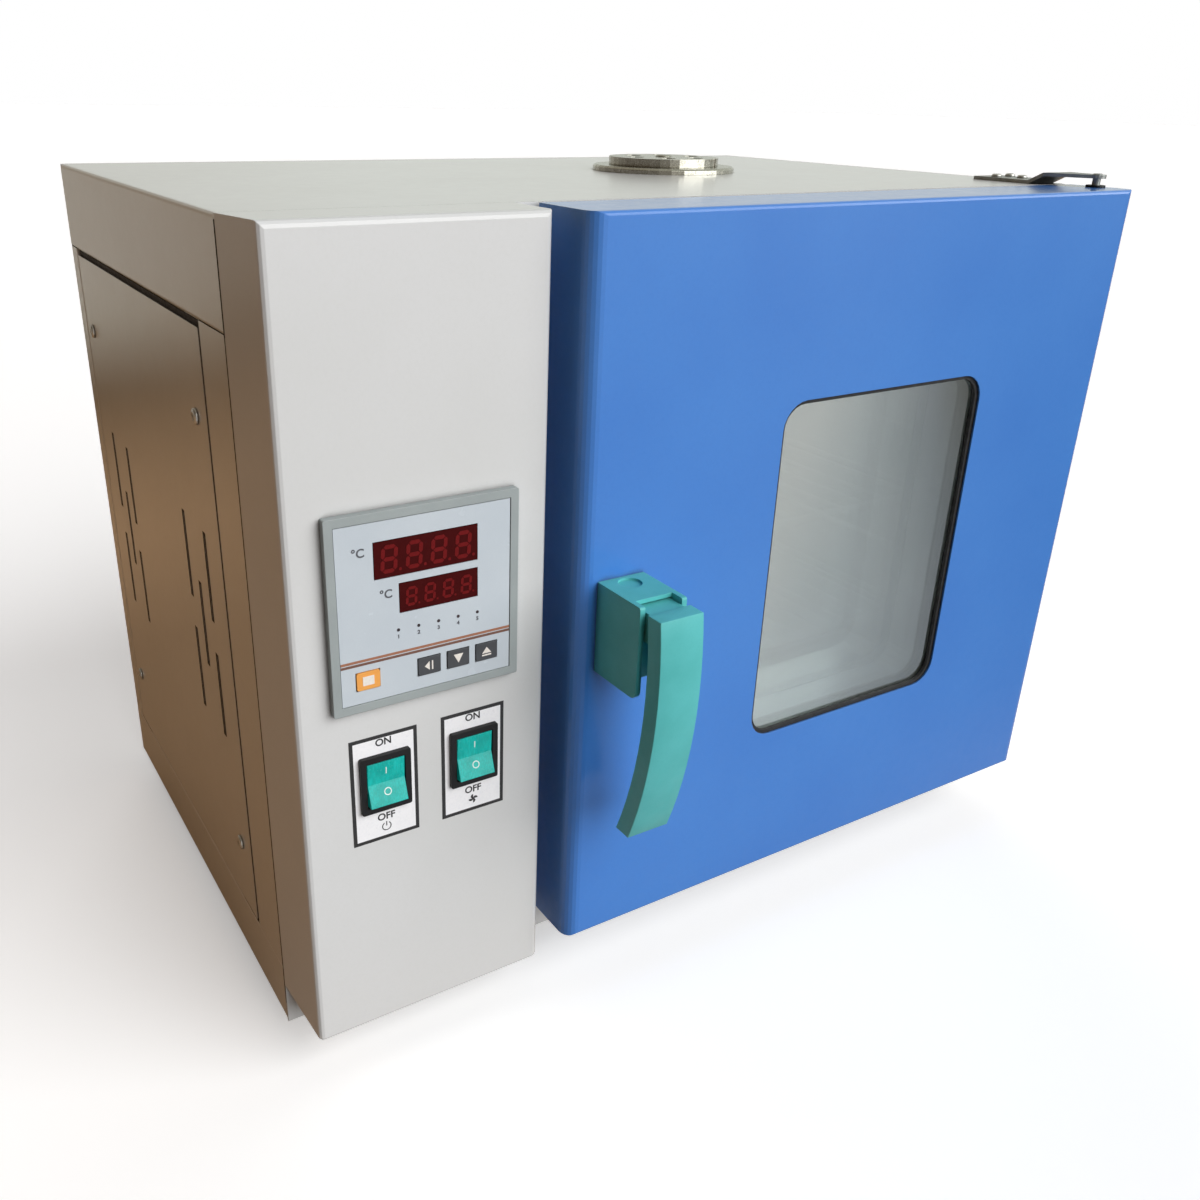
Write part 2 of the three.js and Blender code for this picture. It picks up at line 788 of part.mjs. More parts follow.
// A rail is a web with ledges, drawn out along the depth of the chamber
function addRails() {
  const rails = { shelf_rail_left: [chamberLeft, 1], shelf_rail_right: [chamberRight, -1] };
  Object.entries(rails).forEach(([name, [wall, side]]) => {
    const points = [[0, ledgeZ(0) - railPitch / 2]];
    for (let i = 0; i < railLedges; i += 1) {
      points.push([railSheet, ledgeZ(i) - railLedgeSheet], [railLedge, ledgeZ(i) - railLedgeSheet],
        [railLedge, ledgeZ(i)], [railSheet, ledgeZ(i)]);
    }
    const top = ledgeZ(railLedges - 1) + railPitch / 2;
    points.splice(1, 0, [railSheet, points[0][1]]);
    points.push([railSheet, top], [0, top]);
    const shape = points.map(([x, z]) => new THREE.Vector2(wall + side * (x + seam), z));
    add(name, "stainless", extrude("y", shape, frontFace + railInset, chamberBack - railInset));
  });
}

// Wire shelf: a bent rod frame with thinner wires welded across it
function addShelf(name, ledge) {
  const left = chamberLeft + shelfSideGap + railSheet + shelfRod;
  const right = chamberRight - shelfSideGap - railSheet - shelfRod;
  const front = frontFace + shelfFrontGap + shelfRod;
  const back = chamberBack - shelfFrontGap - shelfRod;
  const z = ledgeZ(ledge) + shelfRod + seam;
  const rods = [
    rod("y", shelfRod, front - shelfRod, back + shelfRod, left, z, wireSteps),
    rod("y", shelfRod, front - shelfRod, back + shelfRod, right, z, wireSteps),
    rod("x", shelfRod, left, right, front, z, wireSteps),
    rod("x", shelfRod, left, right, back, z, wireSteps),
  ];
  const pitch = (right - left) / (shelfWires + 1);
  for (let i = 1; i <= shelfWires; i += 1) {
    rods.push(rod("y", shelfWire, front, back, left + i * pitch, z + shelfWire, wireSteps));
  }
  add(name, "stainless", join(...rods));
}

// Tubular heater: an open loop round the impeller with both tails led out through the duct wall
function addHeater() {
  const loopX = ductLeft + impellerGap + impellerWidth / 2;
  const open = (full * heaterPortShare) / 2;
  const bend = (2 * heaterRadius) / heaterLoop;
  const onLoop = (x, angle) =>
    [x, chamberMidY - heaterLoop * Math.sin(angle), chamberMidZ + heaterLoop * Math.cos(angle)];
  const tail = (angle, turn) => [
    onLoop(partitionX - heaterTail / 3, angle),
    onLoop(ductLeft - heaterTail, angle),
    onLoop(ductLeft - heaterRadius, angle),
    onLoop(ductLeft + heaterRadius / 2, angle),
    onLoop(loopX - heaterRadius / 2, angle + turn * bend),
  ];
  const loop = [];
  for (let i = 0; i <= heaterTurnPoints; i += 1) {
    const from = open + 2 * bend;
    loop.push(onLoop(loopX, from + ((full - 2 * from) * i) / heaterTurnPoints));
  }
  const route = [...tail(open, 1), ...loop, ...tail(full - open, -1).reverse()];
  const path = new THREE.CatmullRomCurve3(route.map((p) => new THREE.Vector3(...p)), false, "centripetal");
  const section = outline(circle(0, 0, heaterRadius, heaterSteps));
  add("heater_element", "zinc", new THREE.ExtrudeGeometry(section, {
    extrudePath: path,
    steps: heaterRings,
    bevelEnabled: false,
  }));
}

function addFan() {
  const flange = partitionX - seam;
  const shaftEnd = ductLeft + impellerGap + impellerWidth;
  const motor = turned([
    [0, flange - motorLength],
    [motorRadius - motorEdge, flange - motorLength],
    [motorRadius, flange - motorLength + motorEdge],
    [motorRadius, flange - motorFlangeSheet],
    [motorFlange, flange - motorFlangeSheet],
    [motorFlange, flange],
    [shaftRadius + seam, flange],
    [shaftRadius + seam, flange - motorBearing],
    [0, flange - motorBearing],
  ]);
  add("fan_motor", "castMotor", turnTo("x", motor).translate(0, chamberMidY, chamberMidZ));
  add("fan_shaft", "zinc", rod("x", shaftRadius, flange - motorBearing + seam, shaftEnd - seam,
    chamberMidY, chamberMidZ, roundSteps));

  const back = shaftEnd - impellerWidth;
  const pieces = [
    rod("x", impellerRadius, back, back + impellerSheet, chamberMidY, chamberMidZ, roundSteps),
    rod("x", hubRadius, back, shaftEnd, chamberMidY, chamberMidZ, roundSteps),
  ];
  for (let i = 0; i < impellerBlades; i += 1) {
    const angle = (full * i) / impellerBlades;
    const inner = [bladeRoot * Math.cos(angle), bladeRoot * Math.sin(angle)];
    const tip = impellerRadius - impellerSheet;
    const outer = [tip * Math.cos(angle + bladeLean), tip * Math.sin(angle + bladeLean)];
    const points = [inner, outer].map(([y, z]) => new THREE.Vector2(chamberMidY + y, chamberMidZ + z));
    const near = offsetPath(points, impellerSheet / 2);
    const far = offsetPath(points, -impellerSheet / 2);
    pieces.push(extrude("x", [...far, ...near.reverse()], back, shaftEnd));
  }
  const bore = rod("x", shaftRadius + seam, back - overrun, shaftEnd + overrun, chamberMidY, chamberMidZ,
    roundSteps);
  add("fan_impeller", "stainless", cut(join(...pieces), bore));
}

// Roof vent: a flanged tube with a pierced floor, and a pierced cap that turns over it
function ventHoles() {
  return Array.from({ length: ventHoleCount }, (_, i) => {
    const angle = (full * i) / ventHoleCount;
    return circle(ventX + ventHoleCircle * Math.cos(angle), ventY + ventHoleCircle * Math.sin(angle),
      ventHoleRadius);
  });
}

function addVent() {
  const top = cabinetHeight + ventFlange;
  const base = turned([
    [0, cabinetHeight],
    [ventTubeRadius - ventTubeWall, cabinetHeight],
    [ventTubeRadius - ventTubeWall, chamberTop],
    [ventTubeRadius, chamberTop],
    [ventTubeRadius, cabinetHeight],
    [ventFlangeRadius, cabinetHeight],
    [ventFlangeRadius, top - ventFlange / 3],
    [ventFlangeRadius - ventFlange / 3, top],
    [ventPivotRadius, top],
    [ventPivotRadius, top + ventCapHeight + ventPivotClearance],
    [ventPivotHead, top + ventCapHeight + ventPivotClearance],
    [ventPivotHead - ventPivotHeadHeight, top + ventCapHeight + ventPivotHeadHeight],
    [0, top + ventCapHeight + ventPivotHeadHeight],
  ], roundSteps + smallSteps).translate(ventX, ventY, 0);
  const drills = ventHoles().map((hole) => extrude("z", hole, cabinetHeight - overrun, top + overrun));
  add("vent_base", "stainless", cut(base, ...drills));

  const rim = circle(ventX, ventY, ventCapRadius, roundSteps + smallSteps);
  const bore = circle(ventX, ventY, ventPivotRadius + ventPivotClearance);
  const disc = pierced("z", rim, [...ventHoles(), bore], top + ventPivotClearance / 2, top + ventCapHeight);
  const notchX = ventX + ventCapRadius * Math.cos(ventNotchTurn);
  const notchY = ventY + ventCapRadius * Math.sin(ventNotchTurn);
  add("vent_cap", "stainless",
    cut(disc, rod("z", ventNotchRadius, top, top + ventCapHeight + overrun, notchX, notchY, roundSteps)));
}

// Hinge plate: screwed down at the rear, joggled up to reach out over the door's pivot
function addHinges() {
  const roof = cabinetHeight;
  const armTop = roof + hingeRise + hingeSheet;
  const side = [
    [hingeRear, roof + hingeSheet],
    [hingeBend, roof + hingeSheet],
    [hingeBend - hingeRamp, armTop],
    [hingeY - hingeNose, armTop],
  ];
  const plan = [
    new THREE.Vector2(cabinetWidth - hingeWidth, hingeRear),
    new THREE.Vector2(cabinetWidth - hingeWidth, hingeBend - hingeRamp),
    ...arc(hingeX, hingeY, hingeNose, 2 * quarter, 4 * quarter, noseSteps),
    new THREE.Vector2(cabinetWidth - sheet, hingeBend - hingeRamp),
    new THREE.Vector2(cabinetWidth - sheet, hingeRear),
  ];
  const strip = extrude("x", bentSheet(side, 1, hingeSheet), cabinetWidth - hingeWidth - overrun,
    cabinetWidth + overrun);
  const middle = cabinetWidth - hingeWidth / 2;
  const quarterWidth = hingeWidth / 4;
  const holes = [[middle - quarterWidth, hingeRear - 2 * quarterWidth + bendRadius],
    [middle + quarterWidth, hingeRear - 2 * quarterWidth + bendRadius],
    [middle, hingeBend + 2 * quarterWidth + bendRadius]].map(([x, y]) =>
    rod("z", hingeScrewHole, roof - overrun, armTop + overrun, x, y));
  const pinHole = rod("z", hingePinRadius + seam, roof, armTop + overrun, hingeX, hingeY, roundSteps);
  add("hinge_plate_top", "zinc",
    cut(common(strip, extrude("z", plan, roof - overrun, armTop + overrun)), ...holes, pinHole));
  const pin = turned([
    [0, roof - hingePinDepth],
    [hingePinRadius, roof - hingePinDepth],
    [hingePinRadius, armTop],
    [hingePinRadius + hingePinHead, armTop],
    [hingePinRadius, armTop + hingePinHead],
    [0, armTop + hingePinHead],
  ]);
  add("hinge_pin_top", "zinc", pin.translate(hingeX, hingeY, 0));

  const shelf = lowerHingeDrop;
  const lowerSide = [
    [frontFace, 2 * bendRadius],
    [frontFace, shelf],
    [hingeY - hingeNose, shelf],
  ];
  const lowerPlan = [
    new THREE.Vector2(cabinetWidth - hingeWidth, frontFace + overrun),
    new THREE.Vector2(cabinetWidth - hingeWidth, hingeY + hingeNose),
    ...arc(hingeX, hingeY, hingeNose, 2 * quarter, 4 * quarter, noseSteps),
    new THREE.Vector2(cabinetWidth - sheet, hingeY + hingeNose),
    new THREE.Vector2(cabinetWidth - sheet, frontFace + overrun),
  ];
  const lowerStrip = extrude("x", bentSheet(lowerSide, 1, hingeSheet), cabinetWidth - hingeWidth - overrun,
    cabinetWidth + overrun);
  const under = shelf - hingeSheet / 2;
  const lowerPin = rod("z", hingePinRadius, under, doorLift + hingePinDepth, hingeX, hingeY, roundSteps);
  add("hinge_plate_bottom", "zinc",
    join(common(lowerStrip, extrude("z", lowerPlan, 0, shelf + overrun)), lowerPin));
}

function addFeetAndGland() {
  const xs = [footInset, cabinetWidth - footInset];
  const ys = [frameBack + footInset, rearFace - footInset];
  const names = ["front_left", "rear_left", "front_right", "rear_right"];
  xs.flatMap((x) => ys.map((y) => [x, y])).forEach(([x, y], i) => {
    const foot = turned([
      [0, -footHeight],
      [footRadius - footTaper, -footHeight],
      [footRadius, -footTaper],
      [footRadius, 0],
      [0, 0],
    ]);
    add(`foot_${names[i]}`, "rubber", foot.translate(x, y, 0));
  });

  const gland = turned([
    [glandCable, rearFace - glandInside],
    [glandThread, rearFace - glandInside],
    [glandThread, rearFace],
    [glandFlats, rearFace],
    [glandFlats, rearFace + glandNut],
    [glandThread, rearFace + glandNut],
    [glandThread, rearFace + glandNut + glandDome / 2],
    [glandCable + glandRim, rearFace + glandNut + glandDome],
    [glandCable, rearFace + glandNut + glandDome],
  ], smallSteps);
  add("cable_gland", "blackPlastic", turnTo("y", gland).translate(glandX, 0, glandZ));
}

// Folded tray of the door, open at the back
function doorBody(inset) {
  const back = doorBack + (inset ? overrun : 0);
  const corner = doorEdge - inset;
  const fold = Math.max(doorFold - inset, sheet / 2);
  const plan = [
    new THREE.Vector2(doorLeft + inset, back),
    ...arc(doorLeft + doorEdge, doorFront + doorEdge, corner, Math.PI, 1.5 * Math.PI, cornerSteps),
    ...arc(cabinetWidth - doorEdge, doorFront + doorEdge, corner, 1.5 * Math.PI, full, cornerSteps),
    new THREE.Vector2(cabinetWidth - inset, back),
  ];
  const reach = fold + inset;
  const side = [
    new THREE.Vector2(back, cabinetHeight - inset),
    ...arc(doorFront + reach, cabinetHeight - reach, fold, quarter, 2 * quarter, bendSteps),
    ...arc(doorFront + reach, doorLift + reach, fold, 2 * quarter, 3 * quarter, bendSteps),
    new THREE.Vector2(back, doorLift + inset),
  ];
  return common(
    extrude("z", plan, doorLift - overrun, cabinetHeight + overrun),
    extrude("x", side, 0, cabinetWidth + overrun),
  );
}

function windowRect(grow) {
  const halfWidth = windowWidth / 2 + grow;
  const halfHeight = windowHeight / 2 + grow;
  return rectangle(chamberMidX - halfWidth, chamberMidZ - halfHeight, chamberMidX + halfWidth,
    chamberMidZ + halfHeight, Math.max(windowRadius + grow, sheet));
}

// Slot that lets the latch arm pass a wall at a given depth and fall as the lever is pulled
function hookSlot(y0, y1) {
  const floor = leverPivotZ - hookDrop(y1) - hookSlack;
  return block(handleX - hookThickness / 2 - hookSlack, handleX + hookThickness / 2 + hookSlack, y0, y1,
    floor, leverPivotZ + hookHeight / 2 + hookSlack);
}

function addDoor() {
  const skinBack = doorFront + sheet;
  const bushHole = (z) => rod("z", hingePinRadius + hingePinClearance + bushWall + seam, z - overrun,
    z + overrun, hingeX, hingeY, roundSteps);
  add("door_skin", "doorPaint", cut(
    doorBody(0),
    doorBody(sheet),
    extrude("y", windowRect(0), doorFront - overrun, skinBack + overrun),
    hookSlot(doorFront - overrun, skinBack + overrun),
    bushHole(cabinetHeight),
    bushHole(doorLift),
  ));

  const liner = outline(
    rectangle(doorLeft + sheet + seam, doorLift + sheet + seam, cabinetWidth - sheet - seam,
      cabinetHeight - sheet - seam),
    [windowRect(0)],
  );
  add("door_inner_panel", "cabinetPaint", cut(
    extrude("y", liner, doorBack - sheet, doorBack),
    hookSlot(doorBack - sheet - overrun, doorBack + overrun),
  ));

  const glassEdge = (y) => extrude("y", windowRect(glassLap), y, y + glassThickness);
  const outerGlass = skinBack + seam + sealThickness + seam;
  const innerGlass = doorBack - sheet - seam - glassThickness;
  add("window_seal", "rubber", extrude("y", outline(windowRect(glassLap), [windowRect(-sealLip)]),
    skinBack + seam, skinBack + seam + sealThickness));
  add("window_outer_glass", "clearGlass", glassEdge(outerGlass));
  add("window_inner_glass", "clearGlass", glassEdge(innerGlass));
  add("window_tunnel", "stainless", extrude("y",
    outline(windowRect(glassLap / 2), [windowRect(glassLap / 2 - tunnelWall)]),
    outerGlass + glassThickness + seam, innerGlass - seam));

  const gasketRect = (grow) => rectangle(chamberLeft - grow, lowerInsulation - grow, chamberRight + grow,
    chamberTop + grow, gasketRadius + grow);
  add("door_gasket", "silicone", extrude("y",
    outline(gasketRect(gasketOffset + gasketWidth), [gasketRect(gasketOffset)]),
    doorBack, frontFace - flangeSheet - seam));

  [["door_bush_top", cabinetHeight, 1], ["door_bush_bottom", doorLift, -1]].forEach(([name, z, up]) => {
    const inner = hingePinRadius + hingePinClearance;
    const bush = turned([
      [inner, z - up * bushDepth],
      [inner + bushWall, z - up * bushDepth],
      [inner + bushWall, z],
      [inner + bushWall + bushFlangeWidth, z],
      [inner + bushWall + bushFlangeWidth, z + up * bushFlange],
      [inner, z + up * bushFlange],
    ]);
    add(name, "blackPlastic", bush.translate(hingeX, hingeY, 0));
  });
}

// Handle: a notched base on the door, and a curved lever whose neck turns between its cheeks
function addHandle() {
  const front = doorFront - handleBaseDepth;
  const floor = handleBaseTop - handleBaseHeight;
  const left = handleX - handleBaseWidth / 2;
  const right = handleX + handleBaseWidth / 2;
  const side = [
    new THREE.Vector2(doorFront, floor),
    new THREE.Vector2(doorFront, handleBaseTop),
    ...arc(front + leverEdge, handleBaseTop - leverEdge, leverEdge, quarter, 2 * quarter, bendSteps),
    ...arc(front + handleBaseEdge, floor + handleBaseEdge, handleBaseEdge, 2 * quarter, 3 * quarter,
      bendSteps),
  ];
  const notchBack = front + notchDepth;
  const underRoof = leverPivotZ + neckRadius + roofClearance;
  add("handle_base", "handlePlastic", cut(
    extrude("x", side, left, right),
    block(left + cheek, right - cheek, front - overrun, notchBack, floor - overrun, underRoof),
    block(left + cheek, right - cheek, front - overrun, leverPivotY - roofLap, floor - overrun,
      handleBaseTop + overrun),
    hookSlot(front - overrun, doorFront + overrun),
    rod("x", leverPinRadius + leverPinClearance, left + pinCover, right - pinCover, leverPivotY, leverPivotZ,
      roundSteps),
    rod("z", dimpleRadius, handleBaseTop - dimpleDepth, handleBaseTop + overrun, handleX,
      doorFront - dimpleInset, roundSteps),
  ));
  add("lever_pin", "zinc", rod("x", leverPinRadius, left + pinCover + seam, right - pinCover - seam,
    leverPivotY, leverPivotZ, roundSteps));

  const centreY = doorFront - leverCrown + leverRadius;
  const bottom = leverTop - leverLength;
  const bow = (radius) => Array.from({ length: leverSteps + 1 }, (_, i) => {
    const z = leverTop - (leverLength * i) / leverSteps;
    return new THREE.Vector2(centreY - Math.sqrt(radius ** 2 - (z - leverCrownZ) ** 2), z);
  });
  const blade = [...bow(leverRadius), ...bow(leverRadius - leverThickness).reverse()];
  const bladeLeft = handleX - leverWidth / 2;
  const bladeRight = handleX + leverWidth / 2;
  const chamfer = leverEdge;
  const slim = [...bow(leverRadius - chamfer), ...bow(leverRadius - leverThickness + chamfer).reverse()];
  const neckHalf = handleBaseWidth / 2 - cheek - neckClearance;
  const neckFront = doorFront - leverCrown + leverThickness / 2;
  const neck = join(
    rod("x", neckRadius, handleX - neckHalf, handleX + neckHalf, leverPivotY, leverPivotZ, roundSteps),
    block(handleX - neckHalf, handleX + neckHalf, neckFront, leverPivotY, leverPivotZ - neckRadius,
      leverPivotZ + neckRadius),
  );
  const hookGap = hookThickness / 2 + seam;
  add("handle_lever", "handlePlastic", cut(
    join(
      extrude("x", blade, bladeLeft + chamfer, bladeRight - chamfer),
      extrude("x", slim, bladeLeft, bladeRight),
      neck,
    ),
    rod("x", leverPinRadius + leverPinClearance, left, right, leverPivotY, leverPivotZ, roundSteps),
    rod("x", hookEye + seam, handleX - hookGap, handleX + hookGap, leverPivotY, leverPivotZ, roundSteps),
    block(handleX - hookGap, handleX + hookGap, leverPivotY, doorFront, leverPivotZ - neckRadius - overrun,
      leverPivotZ + neckRadius + overrun),
  ));

  const tip = frameBack + hookReach;
  const low = leverPivotZ - hookHeight / 2;
  const high = leverPivotZ + hookHeight / 2;
  const notchEnd = tip - hookBarb;
  const notchStart = notchEnd - hookNotchWidth;
  const arm = [
    [leverPivotY, low],
    [notchEnd, low],
    [tip, low + hookHeight / 2],
    [tip, high - hookNotchDepth / 2],
    [notchEnd, high],
    [notchEnd, high - hookNotchDepth],
    [notchStart, high - hookNotchDepth],
    [notchStart - hookNotchDepth, high],
    [leverPivotY, high],
  ].map(([y, z]) => new THREE.Vector2(y, z));
  add("latch_hook", "zinc", cut(
    join(
      rod("x", hookEye, handleX - hookThickness / 2, handleX + hookThickness / 2, leverPivotY, leverPivotZ,
        roundSteps),
      extrude("x", arm, handleX - hookThickness / 2, handleX + hookThickness / 2),
    ),
    rod("x", leverPinRadius + leverPinClearance, left, right, leverPivotY, leverPivotZ, roundSteps),
  ));

  const strikeY = (notchStart + notchEnd) / 2;
  const strikeZ = high + strikeLift + strikePinRadius;
  const strikeFloor = strikeZ - strikeHeight / 2;
  const bracket = (way) => {
    const inner = handleX + way * strikeHalfWidth;
    const leg = [
      [inner + way * strikeFoot, frameBack],
      [inner, frameBack],
      [inner, frameBack + strikeDepth],
    ];
    return extrude("z", bentSheet(leg, -way), strikeFloor, strikeFloor + strikeHeight);
  };
  add("latch_strike", "zinc", join(
    bracket(-1),
    bracket(1),
    rod("x", strikePinRadius, handleX - strikeHalfWidth - sheet / 2, handleX + strikeHalfWidth + sheet / 2,
      strikeY, strikeZ),
  ));
}

function panelRect(centreX, centreZ, width, height, radius = 0) {
  return rectangle(centreX - width / 2, centreZ - height / 2, centreX + width / 2, centreZ + height / 2,
    radius, bendSteps);
}

function addController() {
  const faceSide = controllerSide - 2 * controllerBorder;
  const faceFront = -controllerProud + faceRecess;
  const faceBack = faceFront + faceSheet;
  const floor = faceBack + seam;
  const inner = controllerBody / 2 - controllerFit;
  const pocketBack = -controllerProud - keyProud + faceRecess + keyThickness + keyTravel + seam;
  const keyHole = (x) => panelRect(x, keyZ, keyWidth + 2 * keyClearance, keyHeight + 2 * keyClearance);
  const bezel = panelRect(controllerX, controllerZ, controllerSide, controllerSide, controllerCorner);
  add("controller_housing", "bezelPlastic", cut(
    join(
      extrude("y", bezel, -controllerProud, 0),
      block(controllerX - inner, controllerX + inner, -lap, controllerDepth, controllerZ - inner,
        controllerZ + inner),
    ),
    extrude("y", panelRect(controllerX, controllerZ, faceSide, faceSide), -controllerProud - overrun, floor),
    ...keyXs.map((x) => extrude("y", keyHole(x), -controllerProud - overrun, pocketBack)),
  ));

  const display = (d, fit) => panelRect(controllerX + d.aside, controllerZ + d.rise, d.width + 2 * fit,
    d.height + 2 * fit);
  const film = faceSide - 2 * seam;
  add("controller_face", "faceFilm", pierced("y", panelRect(controllerX, controllerZ, film, film),
    [display(upperDisplay, seam), display(lowerDisplay, seam), ...keyXs.map(keyHole)], faceFront, faceBack));
  const pane = (d) => extrude("y", display(d, 0), faceBack - displaySheet, faceBack);
  add("upper_display", "displayFilter", pane(upperDisplay));
  add("lower_display", "displayFilter", pane(lowerDisplay));

  const keyNames = ["set_key", "shift_key", "down_key", "up_key"];
  keyXs.forEach((x, i) => {
    const front = faceFront - keyProud;
    add(keyNames[i], i === 0 ? "orangeKey" : "greyKey", extrude("y",
      panelRect(x, keyZ, keyWidth, keyHeight, keyCorner), front, front + keyThickness));
  });
}

// Rocker switch: the well holds a rocker that stands tilted with its upper half pressed
function addSwitches() {
  const names = ["power_switch", "fan_switch"];
  switchXs.forEach((x, i) => {
    const well = panelRect(x, switchZ, rockerWidth + 2 * rockerGap, rockerHeight + 4 * rockerGap);
    const terminals = [-1, 0, 1].map((row) => block(x - terminalWidth / 2, x + terminalWidth / 2,
      switchBodyDepth - lap, switchBodyDepth + terminalLength, switchZ + row * terminalPitch,
      switchZ + row * terminalPitch + terminalSheet));
    add(`${names[i]}_housing`, "blackPlastic", cut(
      join(
        extrude("y", panelRect(x, switchZ, switchBezelWidth, switchBezelHeight, switchCorner),
          -switchBezelSheet, 0),
        block(x - switchBodyWidth / 2, x + switchBodyWidth / 2, -lap, switchBodyDepth,
          switchZ - switchBodyHeight / 2, switchZ + switchBodyHeight / 2),
        ...terminals,
      ),
      extrude("y", well, -switchBezelSheet - overrun, rockerWell),
    ));

    const pivot = new THREE.Vector2(rockerPivotDepth, switchZ);
    const half = rockerHeight / 2;
    const profile = [
      [-rockerEndHeight, half],
      [-rockerMidHeight, 0],
      [-rockerEndHeight, -half],
      [rockerDepth / 3, -half],
      [rockerDepth, -half / 2],
      [rockerDepth, half / 2],
      [rockerDepth / 3, half],
    ].map(([y, z]) => new THREE.Vector2(y, switchZ + z).rotateAround(pivot, -rockerTilt));
    const rocker = extrude("x", profile, x - rockerWidth / 2, x + rockerWidth / 2);
    add(`${names[i]}_rocker`, "rockerPlastic", rocker);
  });
}

addCabinet();
addSidePanel();
addFront();
addCover();
addChamber();
addDuctPlate();
addRails();
addShelf("shelf_lower", lowerShelfLedge);
addShelf("shelf_upper", upperShelfLedge);
addHeater();
addFan();
addVent();
addHinges();
addFeetAndGland();
addDoor();
addHandle();
addController();
addSwitches();

// Origin on the floor under the middle of the whole oven, handle and gland included
const leftmost = -screwHeadHeight;
const foremost = doorFront - leverCrown;
const rearmost = rearFace + glandNut + glandDome;
oven.position.set(-(leftmost + cabinetWidth) / 2, -(foremost + rearmost) / 2, footHeight);
oven.name = "drying_oven";

export default new THREE.Group().add(oven);
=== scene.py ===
import json
import math

import bmesh
import bpy
from mathutils import Matrix, Vector
from mathutils.bvhtree import BVHTree

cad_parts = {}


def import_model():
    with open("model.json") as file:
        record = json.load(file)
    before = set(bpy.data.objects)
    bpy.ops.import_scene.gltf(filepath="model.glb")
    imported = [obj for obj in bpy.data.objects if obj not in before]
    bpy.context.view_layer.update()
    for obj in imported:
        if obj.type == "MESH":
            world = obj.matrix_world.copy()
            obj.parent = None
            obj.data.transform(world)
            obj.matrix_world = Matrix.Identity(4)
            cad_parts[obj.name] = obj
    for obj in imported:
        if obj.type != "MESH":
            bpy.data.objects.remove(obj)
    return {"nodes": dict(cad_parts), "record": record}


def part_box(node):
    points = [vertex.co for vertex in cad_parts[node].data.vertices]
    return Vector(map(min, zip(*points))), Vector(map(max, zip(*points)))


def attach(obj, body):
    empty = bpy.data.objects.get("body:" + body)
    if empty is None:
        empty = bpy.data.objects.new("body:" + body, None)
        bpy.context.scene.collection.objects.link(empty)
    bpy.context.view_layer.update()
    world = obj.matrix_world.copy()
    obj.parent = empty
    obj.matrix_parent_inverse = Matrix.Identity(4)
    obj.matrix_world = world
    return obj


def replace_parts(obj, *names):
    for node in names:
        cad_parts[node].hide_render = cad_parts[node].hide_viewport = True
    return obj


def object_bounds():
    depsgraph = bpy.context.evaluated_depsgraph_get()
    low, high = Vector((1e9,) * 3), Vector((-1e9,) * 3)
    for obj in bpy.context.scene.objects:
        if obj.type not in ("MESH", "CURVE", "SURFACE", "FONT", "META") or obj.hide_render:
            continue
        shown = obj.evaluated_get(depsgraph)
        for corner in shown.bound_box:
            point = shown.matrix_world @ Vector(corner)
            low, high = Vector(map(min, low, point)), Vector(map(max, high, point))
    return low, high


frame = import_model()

cad_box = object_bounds()
nodes = frame["nodes"]
MM = 0.001
full_turn = 2 * math.pi
quarter_turn = math.pi / 2

# Camera of the photograph, in metres and degrees
camera_place = (-0.3976, -0.5847, 0.4769)
camera_tilt = 65.93
camera_roll = -1.06
camera_heading = -31.07
camera_nearest = 0.02
lens_mm = 33.91
sensor_mm = 36.0
frame_shift = (0.0537, -0.003)

# Print and labels, in millimetres and degrees; a name that ends in share is a part of another size
print_thickness = 0.12
capital_share = 0.73
label_width = 35.2
label_height = 59.6
label_drop = 3.8
label_border = 1.9
label_gap = 0.6
letter_height = 3.9
letter_weight = 0.1
on_drop = 4.3
off_drop = 5.0
symbol_drop = 10.8
symbol_radius = 2.5
symbol_line = 0.45
symbol_gap = 32
symbol_steps = 24
symbol_bar_share = 0.6
fan_blades = 4
blade_radius_share = 0.52
blade_offset_share = 0.5
hub_steps = 12
hub_height = 1.2 * print_thickness
mark_line = 0.55
bar_height = 3.6
bar_rise = 6.6
ring_radius = 2.0
ring_drop = 4.6
ring_steps = 28

# Controller print, in millimetres and degrees; digits as height, width and pitch, units as places left of
# a display and above its middle
digit_count = 4
upper_digits = (13.4, 8.2, 12.3)
lower_digits = (9.4, 5.7, 9.3)
digit_lean = 4
segment_share = 0.145
segment_gap_share = 0.12
point_share = 0.8
point_offset_share = 1.1
point_steps = 8
unit_places = {"upper_display": (7.4, 4.9), "lower_display": (6.6, 3.2)}
unit_height = 4.2
lamp_count = 5
lamp_pitch = 10.2
lamp_radius = 0.8
lamp_steps = 16
lamp_drop = 8.4
number_drop = 11.8
number_height = 1.9
stripe_drop = 20.7
stripe_height = 1.25
stripe_pitch = 1.75
arrow_size = (5.0, 4.6)
arrow_line = 0.7
shift_bar_share = 0.3
up_base_share = 0.2
up_bar_share = 0.42
set_light = (5.6, 4.6)

# Painted shade: a dark strip in the gap over the removable side panel, in millimetres
gap_strip_height = 2.6
gap_strip_depth = 0.4
gap_strip_clear = 0.2

# Painted shade in the seam between the control cover and the cabinet's side, in millimetres
seam_width_high = 1.3
seam_width_low = 0.4
seam_top_drop = 2.5

# Cooling slots, in millimetres; groups measured from the panel's front and rear edges, each slot of a group
# as its column and row
front_slots = 46.2
rear_slots = 51.2
slot_width = 2
slot_length = 47
slot_pitch = 19
slot_row_step = 34
# slot_rim is the width of the painted shade round each slot
slot_rim = 1.1
slot_group = ((-1, 1), (1, 1), (0, 0), (-1, -1), (1, -1))

# Lever, in millimetres and degrees; points nearer than same_place are one
lever_edge = 1.2
lever_round = 0.6
lever_round_steps = 3
same_place = 0.01
rim_angle = 60
smooth_angle = 40

